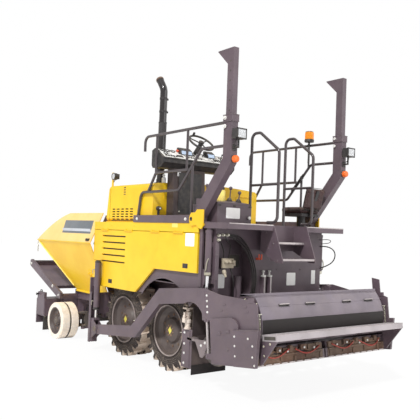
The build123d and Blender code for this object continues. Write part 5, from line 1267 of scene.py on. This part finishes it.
def addCoverSheet(bm, low, high, lift, thick, half, steps=8):
    rows = []
    for k in range(steps + 1):
        w = low + (high - low) * k / steps
        for depth in (lift, lift + thick):
            at, _ = coverAt(w, depth)
            rows.append([bm.verts.new(screedPlace @ Vector((at.x, y, at.y))) for y in (-half, half)])
    for k in range(steps):
        inner, outer, innerUp, outerUp = rows[2 * k], rows[2 * k + 1], rows[2 * k + 2], rows[2 * k + 3]
        bm.faces.new((outer[0], outer[1], outerUp[1], outerUp[0]))
        bm.faces.new((inner[0], innerUp[0], innerUp[1], inner[1]))
        for side in (0, 1):
            bm.faces.new((inner[side], outer[side], outerUp[side], innerUp[side]))
    for first, second in ((rows[0], rows[1]), (rows[-2], rows[-1])):
        bm.faces.new((first[0], first[1], second[1], second[0]))


makeSingle("coverBand", "bandBlack", "screed", addCoverSheet, -0.010, 0.150, 0.0002, 0.003,
           screed["coverHalf"] - 0.004)
bm = bmesh.new()
# folded seam between the cover's two sheets, with the welted upper edge
for w, radius in ((0.300, 0.003), (0.155, 0.003), (0.404, 0.006)):
    at, _ = coverAt(w)
    addTube(bm, [screedPlace @ Vector((at.x, y, at.y)) for y in (-screed["coverHalf"], screed["coverHalf"])],
            radius, 8)
addBlock(bm, screedPlace, (-3.545, -screed["coverHalf"], 0.414), (-3.300, screed["coverHalf"], 0.4425))
makePiece("coverSeams", bm, "coverPaint", "screed", bevel=0.001)
latches = (0.700, 0.270, -0.390, -0.820)
bm = bmesh.new()
for y in latches:
    face = coverFace(y, 0.300, 0.001)
    addBlock(bm, face, (-0.080, -0.014, 0), (0.080, 0.012, 0.003))
    for dx in (-0.066, 0.066):
        addBlock(bm, face, (dx - 0.007, -0.010, 0), (dx + 0.007, 0.010, 0.022))
makePiece("latchPlates", bm, "blackPaint", "screed", bevel=0.001)
bm = bmesh.new()
for y in latches:
    face = coverFace(y, 0.300, 0.001)
    addTube(bm, curved(carried(face, ((-0.070, 0.004, 0.010), (-0.060, 0.004, 0.026), (0.060, 0.004, 0.026),
                                                   (0.070, 0.004, 0.010))), 5), 0.006, 8)
makePiece("latchBars", bm, "wornSteel", "screed")
# bolts on the cover's end walls, and a chain hanging beside each
for side, sign in sides.items():
    makeBolts(f"coverEndBolts_{side}", [screedPlace @ sideFace(u, screed["coverHalf"], w, sign) for u,
                                        w in ((-3.560, 0.330), (-3.600, 0.200), (-3.590, 0.060), (-3.380, 0.380))],
              0.010, "zincFitting", "screed")
    bm = bmesh.new()
    for link in range(9):
        middle = screedPlace @ Vector((-3.640, sign * (screed["coverHalf"] + 0.035), 0.200 - 0.024 * link))
        addLink(bm, middle, link, 0.009, 0.016, 0.0032)
    addBlock(bm, screedPlace, (-3.646, sign * 1.110 - 0.035, 0.214), (-3.634, sign * 1.110 + 0.040, 0.222))
    makePiece(f"coverChain_{side}", bm, "zincFitting", "screed")
# upright plate and hook at the cover's right end
bm = bmesh.new()
addPrism(bm, screedPlace @ sideFace(0, 1.160, 0, -1),
         [(-3.440, 0.330), (-3.560, 0.330), (-3.556, 0.560), (-3.440, 0.590)], 0.012)
addBlock(bm, screedPlace, (-3.570, -1.160, 0.300), (-3.540, -1.075, 0.330))
makePiece("uprightPlate", bm, "darkPaint", "screed", bevel=0.002)

# walkway: dark brackets, a hollow end shown by a dark plate of painted shade, raised studs and a worn rear edge
walkway = nodes["walkway"].data
walkway.materials.append(paints["darkPaint"])
backTurn = screedPlace.inverted()
for face in walkway.polygons:
    middle = backTurn @ face.center
    across = abs(face.normal.y) > 0.9 and abs(middle.y) < screed["walkHalf"] - 0.001
    if across or middle.z < -0.067 or middle.x > -3.664:
        face.material_index = 1
bm = bmesh.new()
for row in range(5):
    for column in range(60):
        place = screedPlace @ Matrix.Translation((-3.700 - 0.042 * row, -1.080 + 0.0366 * column, 0.002))
        addStud(bm, place, row + column, 0.011, 0.003, 0.0022)
makePiece("walkStuds", bm, "greyPlate", "screed")
makeSingle("walkEdge", "wornSteel", "screed", addTube,
           [screedPlace @ Vector((-3.8995, y, 0.0010)) for y in (-screed["walkHalf"], screed["walkHalf"])], 0.0032,
           8)
for side, sign in sides.items():
    # a thin dark plate on the walkway's end: painted shade standing for the inside of its hollow end
    makeSingle(f"walkEndShade_{side}", "flapRubber", "screed", addBlock,
               screedPlace @ sideFace(-3.785, screed["walkHalf"], -0.033, sign), (-0.085, -0.019, 0),
               (0.085, 0.019, 0.0015))
    makeBolts(f"walkBolts_{side}", [screedPlace @ sideFace(u, 1.108, w, sign) for u,
                                    w in ((-3.680, -0.120), (-3.680, -0.220), (-3.780, -0.095))], 0.010,
              "zincFitting", "screed")

for side, sign in sides.items():
    # gate: white-headed bolts, stiffening blocks and its sole shoe
    body = f"extension_{side}"
    makeBolts(f"gateBolts_{side}", [screedPlace @ sideFace(u, screed["gateRear"], w, sign) for u,
                                    w in ((-3.327, -0.019), (-3.324, -0.121), (-3.322, -0.231), (-3.549, -0.036),
                                          (-3.615, -0.113), (-3.607, -0.229), (-3.632, -0.315))], 0.0085,
              "whitePaint", body)
    makeBolts(f"gatePins_{side}", [screedPlace @ sideFace(u, screed["gateFront"], w, sign) for u,
                                   w in ((-3.190, 0.030), (-3.040, 0.010), (-3.185, -0.170))], 0.011, "darkPaint",
              body)
    bm = bmesh.new()
    gateY = sign * screed["gateFront"]
    for (rear, front), (foot, top) in (((-3.225, -3.155), (0.012, 0.050)), ((-3.075, -3.005), (-0.010, 0.028))):
        addBlock(bm, screedPlace, (rear, gateY - 0.004, foot), (front, gateY + 0.006, top))
    addTube(bm, carried(screedPlace, [(u, gateY, -0.338) for u in (-2.884, -3.290)]), 0.006, 8)
    gateEdge = ((-3.302, 0.050), (-3.7160, 0.050), (-3.682, -0.112), (-3.634, -0.338))
    addTube(bm, carried(screedPlace, [(u, sign * (screed["gateRear"] - 0.001), w) for u, w in gateEdge]), 0.004, 8)
    makePiece(f"gateTrim_{side}", bm, "darkPaint", body, bevel=0.0015)
    # arm's end: bolt row, lip, slotted blocks and the block on top of the side plate
    makeBolts(f"armBolts_{side}", [screedPlace @ sideFace(-2.806, screed["plateY"], w, sign)
                                   for w in (0.440, 0.375, 0.310, 0.245)], 0.010, "whitePaint", "screed")
    bm = bmesh.new()
    addTube(bm, [screedPlace @ Vector((-2.762, sign * 1.1640, w)) for w in (0.490, 0.200)], 0.004, 8)
    addBlock(bm, screedPlace, (-3.610, sign * 1.157 - 0.012, 0.340), (-3.530, sign * 1.157 + 0.012, 0.392))
    for u, w in ((-3.470, 0.300), (-3.500, 0.245), (-3.120, 0.330), (-3.060, 0.262)):
        addBlock(bm, screedPlace @ sideFace(u, screed["plateY"], w, sign), (-0.026, -0.009, 0), (0.026, 0.009, 0.005))
    makePiece(f"plateBlocks_{side}", bm, "darkPaint", "screed", bevel=0.002)
    # depth rod: clevis on the arm, threaded rod, knuckle on the side plate
    rodY, rodU = sign * 1.140, -2.762
    bm = bmesh.new()
    addTube(bm, [screedPlace @ Vector((rodU, rodY, w)) for w in (0.150, -0.240)], 0.015, 14)
    for k in range(16):
        ring = screedPlace @ topFace(rodU, rodY, -0.080 - 0.008 * k)
        addLathe(bm, ring, [(0.0150, -0.003), (0.0175, 0), (0.0150, 0.003)], 14)
    makePiece(f"depthRod_{side}", bm, "wornSteel", "screed")
    bm = bmesh.new()
    addBlock(bm, screedPlace, (-2.810, rodY - 0.024, 0.130), (-2.728, rodY + 0.020, 0.190))
    addBlock(bm, screedPlace, (-2.900, rodY - 0.024, -0.300), (-2.735, rodY + 0.022, -0.235))
    for w, radius in ((0.160, 0.018), (-0.270, 0.020)):
        addLathe(bm, screedPlace @ sideFace(rodU, 1.162, w, sign), [(radius, -0.002), (radius, 0.006), (0, 0.008)],
                 18)
    makePiece(f"rodEnds_{side}", bm, "darkPaint", "screed", bevel=0.003)
print("screed's cover, walkway and gates placed")

# ---------- under the walkway: heater boxes, ducts, worn soles and red hoses on each sliding part
under = {"boxRear": -3.560, "upperRear": -3.540}
for side, sign in sides.items():
    body = f"extension_{side}"
    bm = bmesh.new()
    for y0, y1, w0, w1, depth in ((0.060, 0.300, -0.228, -0.160, 0.030), (0.330, 0.430, -0.215, -0.155, 0.040),
                                  (0.470, 0.700, -0.230, -0.175, 0.026), (0.740, 0.820, -0.222, -0.158, 0.042),
                                  (0.850, 1.080, -0.232, -0.180, 0.024), (0.120, 0.180, -0.180, -0.152, 0.046),
                                  (0.560, 0.610, -0.200, -0.152, 0.044), (0.930, 0.980, -0.210, -0.152, 0.044)):
        addSided(bm, screedPlace, (under["upperRear"] - depth, y0, w0), (under["upperRear"] + 0.001, y1, w1), sign)
    addSided(bm, screedPlace, (under["boxRear"] - 0.004, 0.045, -0.345), (under["boxRear"], 1.140, -0.238), sign)
    for y, w0, w1 in ((0.09, -0.33, -0.26), (0.33, -0.30, -0.24), (0.52, -0.33, -0.27), (0.74, -0.31, -0.24),
                      (1.00, -0.33, -0.26)):
        addBlock(bm, screedPlace, (under["boxRear"] - 0.018, sign * y - 0.018, w0),
                 (under["boxRear"], sign * y + 0.018, w1))
    addTube(bm, [screedPlace @ Vector((under["boxRear"] - 0.010, sign * y, -0.246)) for y in (0.06, 1.12)], 0.012, 8)
    makePiece(f"heaterBoxes_{side}", bm, "rustySteel", body, bevel=0.002)
    bm = bmesh.new()
    for k in range(9):
        addSided(bm, screedPlace, (under["boxRear"] - 0.020, 0.045 + 0.122 * k, -0.3455),
                 (under["boxRear"] + 0.001, 0.135 + 0.122 * k, -0.3300), sign)
    makePiece(f"soleEdge_{side}", bm, "wornSteel", body, bevel=0.001)
    bm = bmesh.new()
    for y, w, depth in ((0.205, -0.205, 0.032), (0.380, -0.190, 0.042), (0.640, -0.215, 0.028),
                        (0.780, -0.195, 0.044), (1.020, -0.215, 0.026)):
        addLathe(bm, screedPlace @ facing((under["upperRear"] - depth, sign * y, w), (-1, 0, 0)),
                 [(0.013, 0), (0.013, 0.010), (0.009, 0.012), (0, 0.013)], 6)
    makePiece(f"heaterNuts_{side}", bm, "whitePaint", body)
    makeSingle(f"feedPipe_{side}", "brownPipe", body, addTube,
               curved([screedPlace @ Vector((-3.562, sign * y, w)) for y,
                       w in ((0.080, -0.200), (0.240, -0.235), (0.420, -0.205), (0.620, -0.240), (0.860, -0.205),
                             (1.060, -0.235))], 6), 0.008, 8)
    for number, route in enumerate((((1.030, -0.190), (0.985, -0.236), (0.900, -0.270), (0.790, -0.262),
                                     (0.700, -0.222), (0.620, -0.190)),
                                    ((0.520, -0.195), (0.420, -0.248), (0.300, -0.262), (0.190, -0.225),
                                     (0.110, -0.190)))):
        points = [screedPlace @ Vector((-3.575 - (0.013 if 0 < k < len(route) - 1 else 0.0), sign * y, w))
                  for k, (y, w) in enumerate(route)]
        makeHose(f"heaterHose{number}_{side}", points, 0.016, "redHose", body)
print("under the walkway placed")

# ---------- auger chamber's front wall and what stands on it, behind the rear tyres
chamber = {"wallX": -1.745, "inner": 0.430, "outer": 0.985, "low": 0.170, "high": 0.930}
for side, sign in sides.items():
    wallAt, inner, outer = chamber["wallX"], chamber["inner"], chamber["outer"]
    bm = bmesh.new()
    addSided(bm, Matrix(), (wallAt, inner, chamber["low"]), (wallAt + 0.008, outer, chamber["high"]), sign)
    addSided(bm, Matrix(), (wallAt - 0.012, inner, 0.520), (wallAt, outer, 0.560), sign)
    makePiece(f"chamberWall_{side}", bm, "chamberPaint", "chassis", bevel=0.002)
    bm = bmesh.new()
    outline = [(-1.745, 0.155), (-1.745, 0.640), (-1.560, 0.640), (-1.530, 0.600), (-1.550, 0.430), (-1.530, 0.155)]
    addPrism(bm, sideFace(0, outer, 0, sign), [(-sign * x, z) for x, z in outline], 0.008)
    addTube(bm, [(-1.700, sign * 0.995, 0.165), (-1.700, sign * 0.995, 0.625)], 0.007, 8)
    makePiece(f"chamberFlange_{side}", bm, "darkPaint", "chassis", bevel=0.001)
    # rubber skirt along the chamber's foot
    bm = bmesh.new()
    addSided(bm, Matrix(), (wallAt - 0.011, inner, 0.080), (wallAt + 0.001, outer + 0.006, 0.200), sign)
    makePiece(f"chamberSkirt_{side}", bm, "bandBlack", "chassis", bevel=0.001)
    makeBolts(f"flangeBolts_{side}", [sideFace(-1.590, outer + 0.008, z, sign) for z in (0.205, 0.330, 0.450, 0.590)],
              0.011, "whitePaint", "chassis")
    bm = bmesh.new()
    # stacked pale fittings above the flange: a motor, its block and two unions
    stack0 = topFace(-1.640, sign * 0.985, 0.640)
    addLathe(bm, stack0, [(0.050, 0), (0.050, 0.016), (0.036, 0.020), (0.036, 0.075), (0.046, 0.080),
                          (0.046, 0.120), (0.030, 0.125), (0.030, 0.160), (0.042, 0.165), (0.042, 0.215),
                          (0.024, 0.220), (0.024, 0.250), (0, 0.252)], 20)
    addBlock(bm, stack0, (-0.075, -0.030, 0.085), (0.0, 0.030, 0.145))
    addLathe(bm, stack0 @ Matrix.Translation((-0.060, 0, 0.145)),
             [(0.020, 0), (0.020, 0.030), (0.012, 0.034), (0.012, 0.070), (0, 0.072)], 12)
    addBlock(bm, stack0, (-0.060, -0.040, 0.252), (0.040, 0.040, 0.275))
    makePiece(f"motorStack_{side}", bm, "creamFitting", "chassis", bevel=0.002)
    # shield-shaped bearing bracket at the auger's end, on a strut from the wall
    bm = bmesh.new()
    outline = [(-1.925, 0.560), (-2.150, 0.575), (-2.160, 0.540), (-2.100, 0.400), (-2.060, 0.355), (-2.020, 0.360),
               (-1.985, 0.420), (-1.915, 0.530)]
    addPrism(bm, sideFace(0, 1.054, 0, sign), [(-sign * x, z) for x, z in outline], 0.014)
    for x, y in ((-1.960, 1.055), (-1.840, 0.960)):
        addSided(bm, Matrix(), (x, y, 0.528), (-1.742, 1.066, 0.556), sign)
    addLathe(bm, sideFace(-2.075, 1.054, 0.420, sign), [(0.040, 0), (0.040, 0.020), (0.024, 0.024), (0, 0.024)], 24)
    makePiece(f"augerBracket_{side}", bm, "wornGrey", "chassis", bevel=0.002)
    makeBolts(f"bracketBolts_{side}", [sideFace(-2.035, 1.068, 0.500, sign), sideFace(-2.110, 1.068, 0.545, sign)],
              0.012, "whitePaint", "chassis")
print("auger chamber placed")

# ---------- tow points
for side, sign in sides.items():
    bm = bmesh.new()
    top = topFace(0.560, sign * 1.114, 1.358)
    addLathe(bm, top, [(0.046, -0.004), (0.050, -0.004), (0.050, 0.010), (0.034, 0.016), (0.030, 0.030),
                       (0, 0.032)], 24)
    addLathe(bm, facing((0.560, sign * 1.114, 0.640), (0, 0, -1), (1, 0, 0)),
             [(0.046, -0.030), (0.050, -0.028), (0.050, 0.004), (0.034, 0.012), (0.024, 0.014), (0.021, 0.014)], 24)
    makePiece(f"towCaps_{side}", bm, "blackPaint", "chassis")
    bm = bmesh.new()
    for z in (1.24, 0.76):
        addTube(bm, curved([(0.590, sign * 1.150, z), (0.620, sign * 1.165, z), (0.620, sign * 1.165, z - 0.06)],
                           5), 0.007, 8)
    makePiece(f"towElbows_{side}", bm, "zincFitting", "chassis")
    makeSingle(f"towRodSleeve_{side}", "chromeRod", f"tow_slide_{side}", addLathe,
               topFace(0.560, sign * 1.114, 0.500), [(0.0202, 0), (0.0206, 0.001), (0.0206, 0.640),
                                                     (0.0202, 0.641)], 24)
    pin = sideFace(machine["towPin"][0], 1.150, machine["towPin"][1], sign)
    makeSingle(f"towPinCap_{side}", "castIron", "screed", addLathe, pin,
               [(0.060, 0), (0.060, 0.008), (0.044, 0.012), (0.040, 0.022), (0, 0.024)], 32, bevel=0.001)
print("tow points placed")

# ---------- drive tyres: paler worn treads, and a yellow diamond dabbed on each left hub
# the tread starts at this share of the tyre's radius, and faces turned further sideways stay plain
tread = {"from": 0.86, "sideways": 0.75}
for side, sign in sides.items():
    for axle in ("rear", "mid"):
        tyre = nodes[f"drive_tyre_{axle}_{side}"].data
        xs, zs = [v.co.x for v in tyre.vertices], [v.co.z for v in tyre.vertices]
        middle = Vector(((min(xs) + max(xs)) / 2, 0, (min(zs) + max(zs)) / 2))
        reach = (max(xs) - min(xs)) / 2
        tyre.materials.append(paints["treadDust"])
        for face in tyre.polygons:
            arm = face.center - middle
            arm.y = 0
            if arm.length > reach * tread["from"] and abs(face.normal.y) < tread["sideways"]:
                face.material_index = 1
        if side == "left":
            makeSingle(f"hubDab_{axle}", "hubYellow", f"drive_wheel_{axle}_{side}", addPrism,
                       sideFace(middle.x, machine["rearAxle"][1] + driveWheel["hubFace"] + 0.0003, middle.z, sign),
                       [(-0.042, 0), (0, -0.052), (0.042, 0), (0, 0.052)], 0.003)
print("treads placed")

# ---------- second finishes by face: upper wings made pale as painted sun glare and a dark pedestal, with the door jambs and dark rings of painted shade in the tyre gaps
pedestalTop = 2.640
for side, sign in sides.items():
    wing = nodes[f"hopper_wing_{side}"].data
    wing.materials.append(paints["wingGlarePaint"])
    # upper facets that face up and outwards get the pale finish, a painted glare of the sun on them
    for face in wing.polygons:
        if face.center.z > wingTurn["upper"][0][1] and sign * face.normal.y > 0.5 and face.normal.z > 0.1:
            face.material_index = 1
    bm = bmesh.new()
    addSided(bm, Matrix(), (-1.935, 1.002, 1.200), (-1.880, 1.034, 1.965), sign)
    makePiece(f"doorJamb_{side}", bm, "darkPaint", "chassis", bevel=0.002)
    # a dark rubber ring filling the gap between the twin front tyres: painted shade
    hub = frontHub(sign)
    makeSingle(f"twinGapShade_{side}", "flapRubber", f"front_wheel_{side}", addLathe, hub,
               [(0.270, -0.013), (0.2985, -0.013), (0.2985, 0.013), (0.270, 0.013)], 56)
console = nodes["console"].data
console.materials.append(paints["chamberPaint"])
for face in console.polygons:
    if face.center.z < pedestalTop:
        face.material_index = 1
print("second finishes placed")

# ---------- seat: two foam pads blown up as cloth, with piping sewn on after
pads = {"seatPad": dict(middle=(-1.913, -0.715, 2.236), size=(0.396, 0.380, 0.066), lean=0.0, swell=0.012),
        "backPad": dict(middle=(-2.172, -0.715, 2.396), size=(0.056, 0.368, 0.300), lean=-0.242, swell=0.010)}


padRun = {"corner": 0.016, "voxel": 0.009, "pressure": 4.0, "quality": 5, "frames": 12}
pipingRadius = 0.0042


def makePad(name, middle, size, lean, swell):
    place = Matrix.Translation(middle) @ Matrix.Rotation(lean, 4, "Y")
    bm = bmesh.new()
    addBlock(bm, place, [-length / 2 for length in size], [length / 2 for length in size])
    bmesh.ops.bevel(bm, geom=bm.edges[:], offset=padRun["corner"], segments=3, affect="EDGES")
    bmesh.ops.recalc_face_normals(bm, faces=bm.faces)
    mesh = bpy.data.meshes.new(name)
    bm.to_mesh(mesh)
    bm.free()
    pad = bpy.data.objects.new(name, mesh)
    scene.collection.objects.link(pad)
    remesh = pad.modifiers.new("evenMesh", "REMESH")
    remesh.mode = "VOXEL"
    remesh.voxel_size = padRun["voxel"]
    bpy.context.view_layer.update()
    even = bpy.data.meshes.new_from_object(pad.evaluated_get(bpy.context.evaluated_depsgraph_get()))
    pad.modifiers.clear()
    pad.data = even
    before = [v.co.copy() for v in even.vertices]
    cloth = pad.modifiers.new("foamPressure", "CLOTH")
    cloth.settings.use_pressure = True
    cloth.settings.uniform_pressure_force = padRun["pressure"]
    cloth.settings.effector_weights.gravity = 0
    cloth.settings.quality = padRun["quality"]
    for step in range(1, padRun["frames"] + 1):
        scene.frame_set(step)
    blown = bpy.data.meshes.new_from_object(pad.evaluated_get(bpy.context.evaluated_depsgraph_get()))
    pad.modifiers.clear()
    pad.data = blown
    scene.frame_set(1)
    for vertex, start in zip(blown.vertices, before):
        move = vertex.co - start
        if move.length > swell:
            vertex.co = start + move * (swell / move.length)
    mesh = pad.data
    mesh.shade_smooth()
    mesh.materials.clear()
    mesh.materials.append(paints["seatVinyl"])
    fine = pad.modifiers.new("fineSkin", "SUBSURF")
    fine.levels = fine.render_levels = 1
    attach(pad, "chassis")
    return pad


made = [makePad(name, **look) for name, look in pads.items()]
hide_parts("seat_cushions")
for (name, look), pad in zip(pads.items(), made):
    place = Matrix.Translation(look["middle"]) @ Matrix.Rotation(look["lean"], 4, "Y")
    half = [s / 2 for s in look["size"]]
    bm = bmesh.new()
    ring = []
    first, second = (0, 1) if name == "seatPad" else (2, 1)
    for k in range(49):
        turn = 2 * math.pi * k / 48
        point = [0.0, 0.0, 0.0]
        for axis, value in ((first, math.cos(turn)), (second, math.sin(turn))):
            point[axis] = math.copysign(abs(value) ** 0.32, value) * (half[axis] + 0.002)
        ring.append(place @ Vector(point))
    addTube(bm, ring, pipingRadius, 8)
    makePiece(f"{name}Piping", bm, "flapRubber", "chassis")
bm = bmesh.new()
addBlock(bm, Matrix(), (-2.140, -0.745, 2.150), (-2.100, -0.685, 2.186))
addPrism(bm, sideFace(0, -0.742, 0, 1), [(-x, z) for x,
                                         z in ((-2.105, 2.186), (-2.135, 2.186), (-2.255, 2.500), (-2.240, 2.505),
                                               (-2.228, 2.470))], 0.054)
makePiece("seatSpine", bm, "blackPaint", "chassis", bevel=0.002)
print("seat placed")
